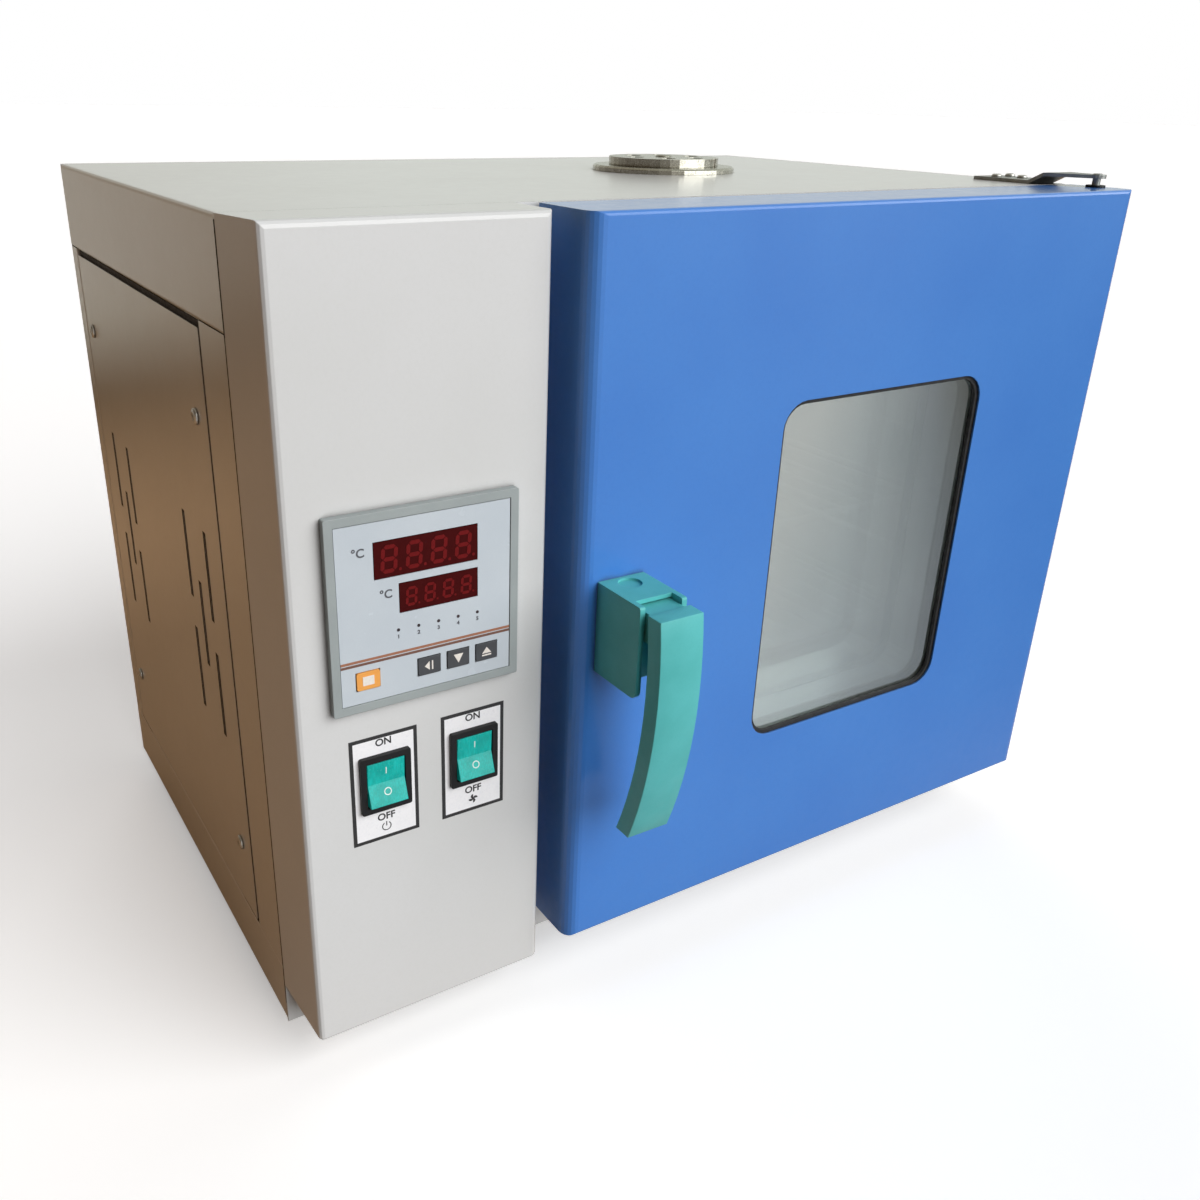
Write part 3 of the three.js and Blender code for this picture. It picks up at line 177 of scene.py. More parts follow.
# Window glass
glass_tint = (0.93, 0.96, 0.95, 1)
glass_gloss = 0.45
glass_grazing_power = 5

# Shading: samples for edges and seams, and the values over which noise, the painted shade in seams and edges
# take hold
edge_samples = 6
noise_span = (0.3, 0.7)
crevice_shade_span = (0.75, 0.4)
edge_span = (0.995, 0.9)

# Screw heads, in millimetres, degrees and shares of the head's radius or height
screw_shank_depth = 1.2
screw_steps = 32
dome_angles = (20, 38, 52, 64, 74, 82)
crown_share = 0.35
shoulder_share = 0.45
rim_share = 0.4
shank_share = 0.5
recess_share = 0.62
recess_slot_share = 0.14
recess_base_share = 0.5
recess_base_slot_share = 0.7
recess_top_share = 1.2
recess_floor_share = 0.25
screw_weld = 0.001
crown_normal = 0.98

# Screws, in millimetres and degrees; hinge screws from the plate's left and rear, rear screws as shares
side_screw_radius = 4.0
side_screw_height = 2.0
side_screw_turns = (20, 65, 5, 40)
wall_probe = 6
hinge_screw_radius = 3.0
hinge_screw_height = 1.9
hinge_hole_probe = 3.4
hinge_screws = [(6.5, 12, 15), (19.5, 12, 50), (13, 26, 80)]
rear_screws = [(0.03, 0.04, 10), (0.97, 0.04, 70), (0.03, 0.5, 35), (0.97, 0.5, 55), (0.03, 0.96, 80),
               (0.97, 0.96, 25)]


def srgb(red, green, blue):
    """Linear colour from the 0 to 255 numbers a picture editor shows."""
    def linear(value):
        share = value / 255
        return share / 12.92 if share <= 0.04045 else ((share + 0.055) / 1.055) ** 2.4
    return (linear(red), linear(green), linear(blue), 1.0)


# Light; each shade below runs from its first colour to its last along a direction, over a span
white = (1, 1, 1, 1)
black = (0, 0, 0, 1)
key_direction = (-0.42, 0.75, -0.38)
key_strength = 3.95
key_softness = 70
left_direction = (0.72, -0.68, -0.12)
left_strength = 0.66
left_softness = 30
left_colour = srgb(255, 204, 150)
rear_direction = (-0.3, -0.9, -0.2)
rear_strength = 1.2
rear_softness = 40
room_strength = 0.11
room_shade = ((1, 0, 0), (-0.6, 0.3), srgb(136, 106, 76), srgb(250, 250, 255))
sky_gloss = ((1, 0, 0), (-0.8, 0.4), srgb(84, 70, 52), srgb(176, 170, 156), srgb(220, 224, 216))
floor_half = 30.0
floor_colour = (0.93, 0.93, 0.93, 1)
floor_glow = 0.38
floor_gloss = ((0, 1, 0), (-1.4, 2.8), white, srgb(222, 230, 238), srgb(220, 180, 138),
               srgb(220, 178, 134), srgb(88, 70, 50), srgb(220, 220, 208), srgb(228, 227, 218))
front_gloss = ((0.66, 0.75, 0), (-0.17, 0.2), srgb(255, 255, 255), srgb(222, 228, 232),
               srgb(172, 176, 184), srgb(118, 112, 100), srgb(60, 52, 40))
front_reach = ((0, 1, 0), (-0.3, -0.2), black, white)
floor_bounce = ((1, 0, 0), (-0.9, -0.2), srgb(116, 86, 58), srgb(104, 98, 92))
# Dark colour painted into slots, seams and corners as shade
crevice_shade_colour = srgb(44, 34, 26)


class Finish:
    """One node material round a Principled shader, in the part's own metres."""

    def __init__(self, name, colour, roughness, metallic=0.0):
        self.material = bpy.data.materials.new(name)
        self.material.use_nodes = True
        self.tree = self.material.node_tree
        self.tree.nodes.clear()
        self.shader = self.tree.nodes.new("ShaderNodeBsdfPrincipled")
        self.output = self.tree.nodes.new("ShaderNodeOutputMaterial")
        self.link(self.shader.outputs["BSDF"], self.output.inputs["Surface"])
        self.place = self.tree.nodes.new("ShaderNodeTexCoord").outputs["Object"]
        self.set("Base Color", colour)
        self.set("Roughness", roughness)
        self.set("Metallic", metallic)
        self.base = colour
        self.colour = None
        self.normal = None

    def link(self, source, target):
        self.tree.links.new(source, target)

    def set(self, socket, value):
        self.shader.inputs[socket].default_value = value

    def noise(self, grain_mm, detail=3.0, stretch=(1, 1, 1), distortion=0.0):
        """Noise whose grains are about grain_mm long, drawn out by stretch."""
        mapping = self.tree.nodes.new("ShaderNodeMapping")
        self.link(self.place, mapping.inputs["Vector"])
        mapping.inputs["Scale"].default_value = [1 / (grain_mm * MM * s) for s in stretch]
        node = self.tree.nodes.new("ShaderNodeTexNoise")
        node.inputs["Scale"].default_value = 1.0
        node.inputs["Detail"].default_value = detail
        node.inputs["Distortion"].default_value = distortion
        self.link(mapping.outputs["Vector"], node.inputs["Vector"])
        return node.outputs["Fac"]

    def remap(self, value, span, results=(0.0, 1.0)):
        """A value that runs between two results as another one runs through a span."""
        node = self.tree.nodes.new("ShaderNodeMapRange")
        node.inputs["From Min"].default_value, node.inputs["From Max"].default_value = span
        node.inputs["To Min"].default_value, node.inputs["To Max"].default_value = results
        self.link(value, node.inputs["Value"])
        return node.outputs["Result"]

    def stain(self, value, colour, strength, span=(0, 1)):
        """Turns the base colour towards another one as a value runs through a span."""
        share = self.remap(value, span, (0, strength))
        mix = self.tree.nodes.new("ShaderNodeMix")
        mix.data_type = "RGBA"
        self.link(share, mix.inputs["Factor"])
        if self.colour is None:
            mix.inputs["A"].default_value = self.base
        else:
            self.link(self.colour, mix.inputs["A"])
        mix.inputs["B"].default_value = colour
        self.colour = mix.outputs["Result"]
        self.link(self.colour, self.shader.inputs["Base Color"])

    def roughen(self, value, low, high):
        self.link(self.remap(value, noise_span, (low, high)), self.shader.inputs["Roughness"])

    def bump(self, value, height_mm, strength):
        node = self.tree.nodes.new("ShaderNodeBump")
        node.inputs["Distance"].default_value = height_mm * MM
        node.inputs["Strength"].default_value = strength
        self.link(value, node.inputs["Height"])
        if self.normal is not None:
            self.link(self.normal, node.inputs["Normal"])
        self.normal = node.outputs["Normal"]
        self.link(self.normal, self.shader.inputs["Normal"])

    def rounded(self, radius_mm):
        """The normal that the surface would have with its edges rounded."""
        node = self.tree.nodes.new("ShaderNodeBevel")
        node.samples = edge_samples
        node.inputs["Radius"].default_value = radius_mm * MM
        return node.outputs["Normal"]

    def soften(self, radius_mm):
        """Rounds the light on edges, and keeps the rounded normal for bumps laid over it."""
        self.normal = self.rounded(radius_mm)
        self.link(self.normal, self.shader.inputs["Normal"])

    def crevices(self, depth_mm):
        """Where shade is painted: a value that is 1 in slots and seams and 0 on open faces."""
        node = self.tree.nodes.new("ShaderNodeAmbientOcclusion")
        node.samples = edge_samples
        node.inputs["Distance"].default_value = depth_mm * MM
        return self.remap(node.outputs["AO"], crevice_shade_span)

    def edges(self, radius_mm):
        """A value that is 1 along edges and 0 on open faces."""
        bent = self.rounded(radius_mm)
        flat = self.tree.nodes.new("ShaderNodeNewGeometry")
        dot = self.tree.nodes.new("ShaderNodeVectorMath")
        dot.operation = "DOT_PRODUCT"
        self.link(bent, dot.inputs[0])
        self.link(flat.outputs["Normal"], dot.inputs[1])
        return self.remap(dot.outputs["Value"], edge_span)


def paint(name, colour, shade, rub, peel_mm, specular, coat_ior, coat_roughness):
    """Baked paint: faint cloudiness, orange peel, rubbed edges and painted shade in slots and seams, under a
    clear gloss.
    """
    finish = Finish(name, colour, roughness=0.45)
    finish.stain(finish.noise(grain_mm=90, detail=4), shade, strength=0.5, span=(0.35, 0.75))
    finish.stain(finish.noise(grain_mm=1.6, detail=2), shade, strength=0.22, span=(0.45, 0.8))
    finish.stain(finish.edges(radius_mm=0.5), rub, strength=0.35)
    # Painted shade: the paint darkens in slots, seams and corners
    finish.stain(finish.crevices(depth_mm=6), crevice_shade_colour, strength=0.92)
    finish.roughen(finish.noise(grain_mm=7), low=0.4, high=0.52)
    finish.soften(radius_mm=0.6)
    finish.bump(finish.noise(peel_mm, detail=2), height_mm=0.06, strength=0.35)
    finish.set("Specular IOR Level", specular)
    finish.set("Coat Weight", 1.0)
    finish.set("Coat IOR", coat_ior)
    finish.set("Coat Roughness", coat_roughness)
    return finish.material


def steel(name, colour, shade, stretch, roughness, metallic):
    """Brushed steel with the brushing drawn out by stretch."""
    finish = Finish(name, colour, roughness, metallic)
    streaks = finish.noise(grain_mm=0.35, detail=5, stretch=stretch)
    finish.stain(streaks, shade, strength=0.6, span=(0.3, 0.75))
    finish.stain(finish.noise(grain_mm=24, detail=4), shade, strength=0.35, span=(0.45, 0.75))
    finish.roughen(streaks, low=roughness - 0.08, high=roughness + 0.12)
    finish.soften(radius_mm=0.4)
    finish.bump(streaks, height_mm=0.02, strength=0.4)
    return finish.material


def zinc(name, colour, spangle, yellowed):
    """Zinc plate: spangled, a little yellowed and stained."""
    finish = Finish(name, colour, roughness=0.38, metallic=0.55)
    finish.stain(finish.noise(grain_mm=5, distortion=0.6), spangle, strength=0.6, span=(0.4, 0.7))
    finish.stain(finish.noise(grain_mm=17, detail=4), yellowed, strength=0.4, span=(0.55, 0.75))
    finish.roughen(finish.noise(grain_mm=3), low=0.28, high=0.5)
    finish.soften(radius_mm=0.3)
    finish.bump(finish.noise(grain_mm=0.6, detail=2), height_mm=0.02, strength=0.3)
    return finish.material


def moulding(name, colour, shade, roughness=0.42, grain_mm=0.5, coat=0.0, specular=0.5):
    """Moulded plastic: fine spark-eroded grain and soft flow shading."""
    finish = Finish(name, colour, roughness)
    finish.stain(finish.noise(grain_mm=22), shade, strength=0.55, span=(0.38, 0.7))
    finish.stain(finish.noise(grain_mm=0.9, detail=2), shade, strength=0.25, span=(0.5, 0.8))
    finish.roughen(finish.noise(grain_mm=6), low=roughness - 0.06, high=roughness + 0.1)
    finish.soften(radius_mm=0.45)
    finish.bump(finish.noise(grain_mm, detail=2), height_mm=0.03, strength=0.35)
    finish.set("Coat Weight", coat)
    finish.set("Coat Roughness", 0.2)
    finish.set("Specular IOR Level", specular)
    return finish.material


def rubber(name, colour, shade):
    """Rubber: matt, with a dusty bloom."""
    finish = Finish(name, colour, roughness=0.75)
    finish.stain(finish.noise(grain_mm=9, detail=4), shade, strength=0.6, span=(0.4, 0.75))
    finish.roughen(finish.noise(grain_mm=2), low=0.65, high=0.88)
    finish.soften(radius_mm=0.4)
    finish.bump(finish.noise(grain_mm=0.8), height_mm=0.05, strength=0.5)
    return finish.material


def glass(name, colour, dust):
    """Toughened glass with a trace of dust: a clear sheet under a gloss that grows as it turns away."""
    finish = Finish(name, colour, roughness=0.03, metallic=1.0)
    finish.stain(finish.noise(grain_mm=60, detail=4), dust, strength=0.4, span=(0.5, 0.8))
    finish.roughen(finish.noise(grain_mm=35, detail=4), low=0.02, high=0.06)
    clear = finish.tree.nodes.new("ShaderNodeBsdfTransparent")
    clear.inputs["Color"].default_value = glass_tint
    facing = finish.tree.nodes.new("ShaderNodeLayerWeight").outputs["Facing"]
    grazing = finish.tree.nodes.new("ShaderNodeMath")
    grazing.operation = "POWER"
    grazing.inputs[1].default_value = glass_grazing_power
    finish.link(facing, grazing.inputs[0])
    mix = finish.tree.nodes.new("ShaderNodeMixShader")
    finish.link(finish.remap(grazing.outputs["Value"], (0, 1), (glass_gloss, 1)), mix.inputs["Fac"])
    finish.link(clear.outputs["BSDF"], mix.inputs[1])
    finish.link(finish.shader.outputs["BSDF"], mix.inputs[2])
    finish.link(mix.outputs["Shader"], finish.output.inputs["Surface"])
    return finish.material


def film(name, colour, cloud, speckle):
    """Printed polyester film over the controller's face."""
    finish = Finish(name, colour, roughness=0.22)
    finish.stain(finish.noise(grain_mm=30), cloud, strength=0.5, span=(0.35, 0.7))
    finish.stain(finish.noise(grain_mm=0.4, detail=2), speckle, strength=0.3, span=(0.5, 0.8))
    finish.roughen(finish.noise(grain_mm=12), low=0.18, high=0.28)
    finish.bump(finish.noise(grain_mm=5, detail=2), height_mm=0.02, strength=0.25)
    finish.set("Coat Weight", 0.5)
    finish.set("Coat Roughness", 0.08)
    return finish.material


def display(name, colour, shade):
    """Dark red filter that the unlit digits show on."""
    finish = Finish(name, colour, roughness=0.5)
    finish.stain(finish.noise(grain_mm=3), shade, strength=0.6, span=(0.4, 0.75))
    finish.roughen(finish.noise(grain_mm=6), low=0.45, high=0.6)
    finish.set("Specular IOR Level", 0.05)
    return finish.material


def rocker(name, colour, rib, shade, glow):
    """Translucent green moulding with the ribbed diffuser showing through, and a faint painted glow of its
    own.
    """
    finish = Finish(name, colour, roughness=0.25)
    ribs = finish.noise(grain_mm=0.5, detail=2, stretch=(1, 1, 9))
    finish.stain(ribs, rib, strength=0.75, span=(0.4, 0.7))
    finish.stain(finish.noise(grain_mm=7), shade, strength=0.6, span=(0.45, 0.7))
    finish.roughen(finish.noise(grain_mm=4), low=0.18, high=0.3)
    finish.soften(radius_mm=0.35)
    finish.bump(ribs, height_mm=0.03, strength=0.3)
    finish.set("Specular IOR Level", 0.3)
    # Painted glow: the rocker gives off a faint light though it is no lamp
    finish.set("Emission Color", glow)
    finish.set("Emission Strength", 0.1)
    return finish.material


def ink(name, colour, shade, roughness=0.5, specular=0.5):
    """Printing ink or a paper sticker: flat, with a slightly uneven lay."""
    finish = Finish(name, colour, roughness)
    finish.set("Specular IOR Level", specular)
    finish.stain(finish.noise(grain_mm=1.2), shade, strength=0.6, span=(0.4, 0.75))
    finish.roughen(finish.noise(grain_mm=2.5, detail=2), low=roughness - 0.08, high=roughness + 0.1)
    return finish.material


def wool(name, colour, shade):
    """Pressed mineral wool."""
    finish = Finish(name, colour, roughness=0.95)
    fibres = finish.noise(grain_mm=1.4, detail=5, stretch=(4, 1, 1), distortion=1.5)
    finish.stain(fibres, shade, strength=1, span=(0.35, 0.7))
    finish.roughen(fibres, low=0.88, high=1.0)
    finish.bump(fibres, height_mm=0.6, strength=0.8)
    return finish.material


def casting(name, colour, shade):
    """Painted cast motor housing."""
    finish = Finish(name, colour, roughness=0.55, metallic=0.2)
    finish.stain(finish.noise(grain_mm=8, detail=4), shade, strength=0.7, span=(0.4, 0.7))
    finish.roughen(finish.noise(grain_mm=3, detail=4), low=0.45, high=0.7)
    finish.soften(radius_mm=0.5)
    finish.bump(finish.noise(grain_mm=1.5, detail=4), height_mm=0.12, strength=0.6)
    return finish.material


# Each finish as its function, its colours from the base to the last stain, and what else it is given
recipes = {
    "cabinet_paint": (paint, [srgb(216, 217, 217), srgb(208, 209, 207), srgb(218, 218, 216)],
                      dict(peel_mm=2.2, specular=0.1, coat_ior=1.45, coat_roughness=0.2)),
    "door_paint": (paint, [srgb(68, 131, 211), srgb(56, 117, 201), srgb(110, 152, 216)],
                   dict(peel_mm=1.6, specular=0.2, coat_ior=1.35, coat_roughness=0.16)),
    "stainless": (steel, [srgb(234, 236, 236), srgb(208, 210, 209)],
                  dict(stretch=(1, 30, 1), roughness=0.36, metallic=0.6)),
    "turned_steel": (steel, [srgb(192, 190, 180), srgb(132, 130, 118)],
                     dict(stretch=(12, 1, 6), roughness=0.22, metallic=1.0)),
    "zinc_plate": (zinc, [srgb(150, 154, 152), srgb(118, 118, 112), srgb(160, 148, 120)], {}),
    "handle_plastic": (moulding, [srgb(92, 190, 190), srgb(75, 173, 171)],
                       dict(roughness=0.4, grain_mm=0.7, coat=0.1, specular=0.25)),
    "bezel_plastic": (moulding, [srgb(158, 166, 166), srgb(146, 154, 155)], {}),
    "face_film": (film, [srgb(199, 208, 215), srgb(188, 198, 207), srgb(180, 190, 198)], {}),
    "display_filter": (display, [srgb(66, 12, 13), srgb(58, 9, 10)], {}),
    "black_plastic": (moulding, [srgb(20, 20, 22), srgb(10, 10, 11)], dict(specular=0.25)),
    # The rocker's last colour is its painted glow
    "rocker_plastic": (rocker, [srgb(5, 164, 154), srgb(20, 194, 188), srgb(4, 134, 126), srgb(8, 194, 180)],
                       {}),
    "orange_key": (moulding, [srgb(240, 168, 84), srgb(232, 150, 60)], dict(roughness=0.4, grain_mm=0.4)),
    "grey_key": (moulding, [srgb(66, 68, 72), srgb(50, 52, 56)], dict(roughness=0.45, grain_mm=0.4)),
    "clear_glass": (glass, [srgb(246, 250, 248), srgb(226, 235, 232)], {}),
    "foot_rubber": (rubber, [srgb(30, 30, 30), srgb(48, 46, 44)], {}),
    # Painted shade: the dark strips laid in gaps and seams and round the slots
    "gap_shade_strip": (rubber, [srgb(26, 20, 16), srgb(38, 30, 24)], {}),
    "seal_rubber": (rubber, [srgb(22, 22, 24), srgb(38, 38, 40)], {}),
    "silicone": (rubber, [srgb(176, 172, 164), srgb(150, 146, 138)], {}),
    "mineral_wool": (wool, [srgb(198, 186, 150), srgb(168, 152, 112)], {}),
    "motor_iron": (casting, [srgb(84, 88, 92), srgb(58, 61, 64)], {}),
    "screw_steel": (steel, [srgb(206, 206, 202), srgb(150, 148, 142)],
                    dict(stretch=(1, 1, 1), roughness=0.3, metallic=0.8)),
    "black_ink": (ink, [srgb(22, 22, 24), srgb(40, 40, 42)], {}),
    "grey_ink": (ink, [srgb(76, 78, 84), srgb(98, 100, 106)], {}),
    "white_ink": (ink, [srgb(226, 240, 234), srgb(190, 226, 214)], {}),
    "light_print": (ink, [srgb(240, 234, 226), srgb(222, 216, 208)], {}),
    "label_white": (ink, [srgb(248, 248, 250), srgb(238, 239, 243)], dict(roughness=0.35)),
    "orange_ink": (ink, [srgb(160, 108, 82), srgb(138, 92, 72)], {}),
    "brown_ink": (ink, [srgb(116, 80, 66), srgb(92, 62, 54)], {}),
    "dark_lamp": (ink, [srgb(46, 40, 44), srgb(70, 40, 42)], dict(roughness=0.25)),
    "display_segment": (ink, [srgb(108, 20, 22), srgb(94, 16, 18)], dict(specular=0.1)),
}
finishes = {name: make(name, *colours, **given) for name, (make, colours, given) in recipes.items()}
slot_of = {row["node"]: row["material_slot"] for row in frame["record"]["subparts"]}
for node_name, node in nodes.items():
    node.data.materials.clear()
    node.data.materials.append(finishes[slot_of[node_name]])
for turned_name in ("vent_base", "vent_cap"):
    nodes[turned_name].data.materials[0] = finishes["turned_steel"]


def added(name, data):
    """A new object of the scene."""
    item = bpy.data.objects.new(name, data)
    bpy.context.scene.collection.objects.link(item)
    return item


def camera():
    data = bpy.data.cameras.new("camera")
    data.lens = lens_mm
    data.sensor_width = sensor_mm
    data.shift_x, data.shift_y = frame_shift
    data.clip_start = camera_nearest
    item = added("camera", data)
    item.location = camera_place
    item.rotation_euler = [math.radians(a) for a in (camera_tilt, camera_roll, camera_heading)]
    bpy.context.scene.camera = item


def light_path(tree, *rays):
    """A value that is 1 for the named kinds of ray and 0 for all others."""
    path = tree.nodes.new("ShaderNodeLightPath")
    value = path.outputs[rays[0]]
    for ray in rays[1:]:
        larger = tree.nodes.new("ShaderNodeMath")
        larger.operation = "MAXIMUM"
        tree.links.new(value, larger.inputs[0])
        tree.links.new(path.outputs[ray], larger.inputs[1])
        value = larger.outputs["Value"]
    return value


def shaded(tree, place, direction, span, *colours):
    """A colour that runs evenly through the given ones as a place moves over a span, along a direction."""
    along = tree.nodes.new("ShaderNodeVectorMath")
    along.operation = "DOT_PRODUCT"
    along.inputs[1].default_value = direction
    tree.links.new(place, along.inputs[0])
    share = tree.nodes.new("ShaderNodeMapRange")
    share.inputs["From Min"].default_value, share.inputs["From Max"].default_value = span
    tree.links.new(along.outputs["Value"], share.inputs["Value"])
    ramp = tree.nodes.new("ShaderNodeValToRGB")
    stops = ramp.color_ramp.elements
    while len(stops) < len(colours):
        stops.new(position=0.5)
    for index, colour in enumerate(colours):
        stops[index].position = index / (len(colours) - 1)
        stops[index].color = colour
    tree.links.new(share.outputs["Result"], ramp.inputs["Fac"])
    return ramp.outputs["Color"]


def chosen(tree, choice, otherwise, picked):
    """One shader for the rays that choice is 1 for, and another for the rest."""
    mix = tree.nodes.new("ShaderNodeMixShader")
    tree.links.new(choice, mix.inputs["Fac"])
    tree.links.new(otherwise, mix.inputs[1])
    tree.links.new(picked, mix.inputs[2])
    return mix.outputs["Shader"]


def surface(tree, matt, gloss, seen, output_type):
    """Shows one shader to the eye and through glass, another one to gloss, and the matt one to all else."""
    lit = chosen(tree, light_path(tree, "Is Glossy Ray"), matt, gloss)
    shown = chosen(tree, light_path(tree, "Is Camera Ray", "Is Transmission Ray"), lit, seen)
    tree.links.new(shown, tree.nodes.new(output_type).inputs["Surface"])


def world():
    """White behind the object, pale to gloss from the right and brown from the left, dim to matt surfaces."""
    surroundings = bpy.data.worlds.new("studio")
    bpy.context.scene.world = surroundings
    surroundings.use_nodes = True
    tree = surroundings.node_tree
    tree.nodes.clear()
    towards = tree.nodes.new("ShaderNodeTexCoord").outputs["Generated"]
    room, gloss, backdrop = [tree.nodes.new("ShaderNodeBackground") for _ in range(3)]
    tree.links.new(shaded(tree, towards, *room_shade), room.inputs["Color"])
    room.inputs["Strength"].default_value = room_strength
    tree.links.new(shaded(tree, towards, *sky_gloss), gloss.inputs["Color"])
    backdrop.inputs["Color"].default_value = white
    surface(tree, room.outputs["Background"], gloss.outputs["Background"], backdrop.outputs["Background"],
            "ShaderNodeOutputWorld")


def floor():
    """A floor pale to the eye, with other shades for gloss and for the light thrown back on the object."""
    material = bpy.data.materials.new("studio_floor")
    material.use_nodes = True
    tree = material.node_tree
    tree.nodes.clear()
    place = tree.nodes.new("ShaderNodeNewGeometry").outputs["Position"]
    pale, gloss, bounce = [tree.nodes.new("ShaderNodeBsdfDiffuse") for _ in range(3)]
    pale.inputs["Color"].default_value = floor_colour
    meeting = tree.nodes.new("ShaderNodeMix")
    meeting.data_type = "RGBA"
    tree.links.new(shaded(tree, place, *front_reach), meeting.inputs["Factor"])
    tree.links.new(shaded(tree, place, *front_gloss), meeting.inputs["A"])
    tree.links.new(shaded(tree, place, *floor_gloss), meeting.inputs["B"])
    tree.links.new(meeting.outputs["Result"], gloss.inputs["Color"])
    tree.links.new(shaded(tree, place, *floor_bounce), bounce.inputs["Color"])
    glow = tree.nodes.new("ShaderNodeEmission")
    glow.inputs["Strength"].default_value = floor_glow
    bright = tree.nodes.new("ShaderNodeAddShader")
    tree.links.new(pale.outputs["BSDF"], bright.inputs[0])
    tree.links.new(glow.outputs["Emission"], bright.inputs[1])
    surface(tree, bounce.outputs["BSDF"], gloss.outputs["BSDF"], bright.outputs["Shader"],
            "ShaderNodeOutputMaterial")
    mesh = bpy.data.meshes.new("floor")
    corners = [(x, y, 0) for x, y in rect(2 * floor_half, 2 * floor_half)]
    mesh.from_pydata(corners, [], [(0, 1, 2, 3)])
    mesh.materials.append(material)
    plane = added("floor", mesh)


def sun(name, towards, strength, angle, colour=white, mirrored=True):
    data = bpy.data.lights.new(name, "SUN")
    data.energy = strength
    data.angle = math.radians(angle)
    data.color = colour[:3]
    item = added(name, data)
    item.visible_glossy = mirrored
    item.rotation_euler = Vector(towards).to_track_quat("-Z", "Y").to_euler()


def studio():
    """Plain soft light from the front right and above, and a dim warm one from the left."""
    world()
    floor()
    sun("key_light", key_direction, key_strength, key_softness)
    sun("left_light", left_direction, left_strength, left_softness, left_colour, mirrored=False)
    sun("rear_light", rear_direction, rear_strength, rear_softness, mirrored=False)
    bpy.context.scene.view_settings.view_transform = "Standard"


def rect(width, height, x=0.0, y=0.0):
    return [(x - width / 2, y - height / 2), (x + width / 2, y - height / 2),
            (x + width / 2, y + height / 2), (x - width / 2, y + height / 2)]


def ring_points(radius, steps, start=0.0, turn=full_turn, x=0.0, y=0.0):
    """Points along a circle, or along an arc with both of its ends."""
    count = steps if turn >= full_turn else steps + 1
    angles = [start + turn * i / steps for i in range(count)]
    return [(x + radius * math.cos(a), y + radius * math.sin(a)) for a in angles]


def grown(outline, bm, height=print_thickness):
    """A prism over a flat outline of (x, y) points, all in millimetres."""
    rings = [[bm.verts.new((x * MM, y * MM, z * MM)) for x, y in outline] for z in (0, height)]
    bm.faces.new(rings[0][::-1])
    bm.faces.new(rings[1])
    for i in range(len(outline)):
        j = (i + 1) % len(outline)
        bm.faces.new((rings[0][i], rings[0][j], rings[1][j], rings[1][i]))


def band(outer, inner, bm, closed=True):
    """A flat printed strip between two outlines of as many points, closed into a ring or with two ends."""
    count = len(outer)
    rows = [[bm.verts.new((x * MM, y * MM, z * MM)) for x, y in points]
            for points, z in ((outer, 0), (outer, print_thickness), (inner, print_thickness), (inner, 0))]
    for i in range(count if closed else count - 1):
        j = (i + 1) % count
        for first, second in zip(rows, rows[1:] + rows[:1]):
            bm.faces.new((first[i], first[j], second[j], second[i]))
    if not closed:
        bm.faces.new([row[0] for row in rows])
        bm.faces.new([row[-1] for row in rows][::-1])


def mesh_of(bm, name):
    """The mesh of a bmesh, with its faces turned outwards; the bmesh goes."""
    bmesh.ops.recalc_face_normals(bm, faces=bm.faces)
    mesh = bpy.data.meshes.new(name)
    bm.to_mesh(mesh)
    bm.free()
    return mesh


def shape_of(item):
    """The mesh that an object shows once its text or its modifiers are worked out; the object goes."""
    bpy.context.view_layer.update()
    mesh = bpy.data.meshes.new_from_object(item.evaluated_get(bpy.context.evaluated_depsgraph_get()))
    bpy.data.objects.remove(item)
    return mesh


def adopted(name, mesh, finish, body):
    """A new piece from a mesh that already lies in place."""
    mesh.materials.clear()
    mesh.materials.append(finishes[finish])
    item = added(name, mesh)
    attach(item, body)
    return item


def laid(name, bm, place, finish, body):
    """A new piece from a bmesh on the xy plane, laid at a place."""
    bmesh.ops.transform(bm, matrix=place, verts=bm.verts)
    adopted(name, mesh_of(bm, name), finish, body)


def printed(name, outlines, place, finish, body):
    """A new piece of flat print over the outlines, laid at a place."""
    bm = bmesh.new()
    for outline in outlines:
        grown(outline, bm)
    laid(name, bm, place, finish, body)


def bordered(name, outer, inner, place, finish, body):
    """A new printed ring between two outlines, laid at a place."""
    bm = bmesh.new()
    band(outer, inner, bm)
    laid(name, bm, place, finish, body)


def lettering(words, height_mm):
    """Flat printed words as a bmesh, centred, lying on the xy plane."""
    curve = bpy.data.curves.new("lettering", "FONT")
    curve.body = words
    curve.size = height_mm * MM / capital_share
    curve.align_x = "CENTER"
    curve.align_y = "CENTER"
    curve.extrude = print_thickness * MM / 2
    curve.offset = letter_weight * MM
    mesh = shape_of(added("lettering", curve))
    bm = bmesh.new()
    bm.from_mesh(mesh)
    bpy.data.meshes.remove(mesh)
    bmesh.ops.translate(bm, verts=bm.verts, vec=(0, 0, print_thickness * MM / 2))
    return bm


class Face:
    """Finds where a line from in front meets a node, so that a piece lies on its real surface."""

    def __init__(self, node_name, towards=(0, 1, 0), up=(0, 0, 1)):
        mesh = nodes[node_name].data
        corners = [v.co for v in mesh.vertices]
        self.tree = BVHTree.FromPolygons(corners, [tuple(p.vertices) for p in mesh.polygons])
        self.towards = Vector(towards)
        self.up = Vector(up)

    def at(self, point):
        """The matrix that lays the xy plane on the surface, on the line through a point in metres."""
        place, normal = self.tree.ray_cast(Vector(point) - self.towards, self.towards)[:2]
        side = self.up.cross(normal).normalized()
        top = normal.cross(side)
        return Matrix.Translation(place) @ Matrix((side, top, normal)).transposed().to_4x4()


def middle(node_name):
    low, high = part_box(node_name)
    return (low + high) / 2


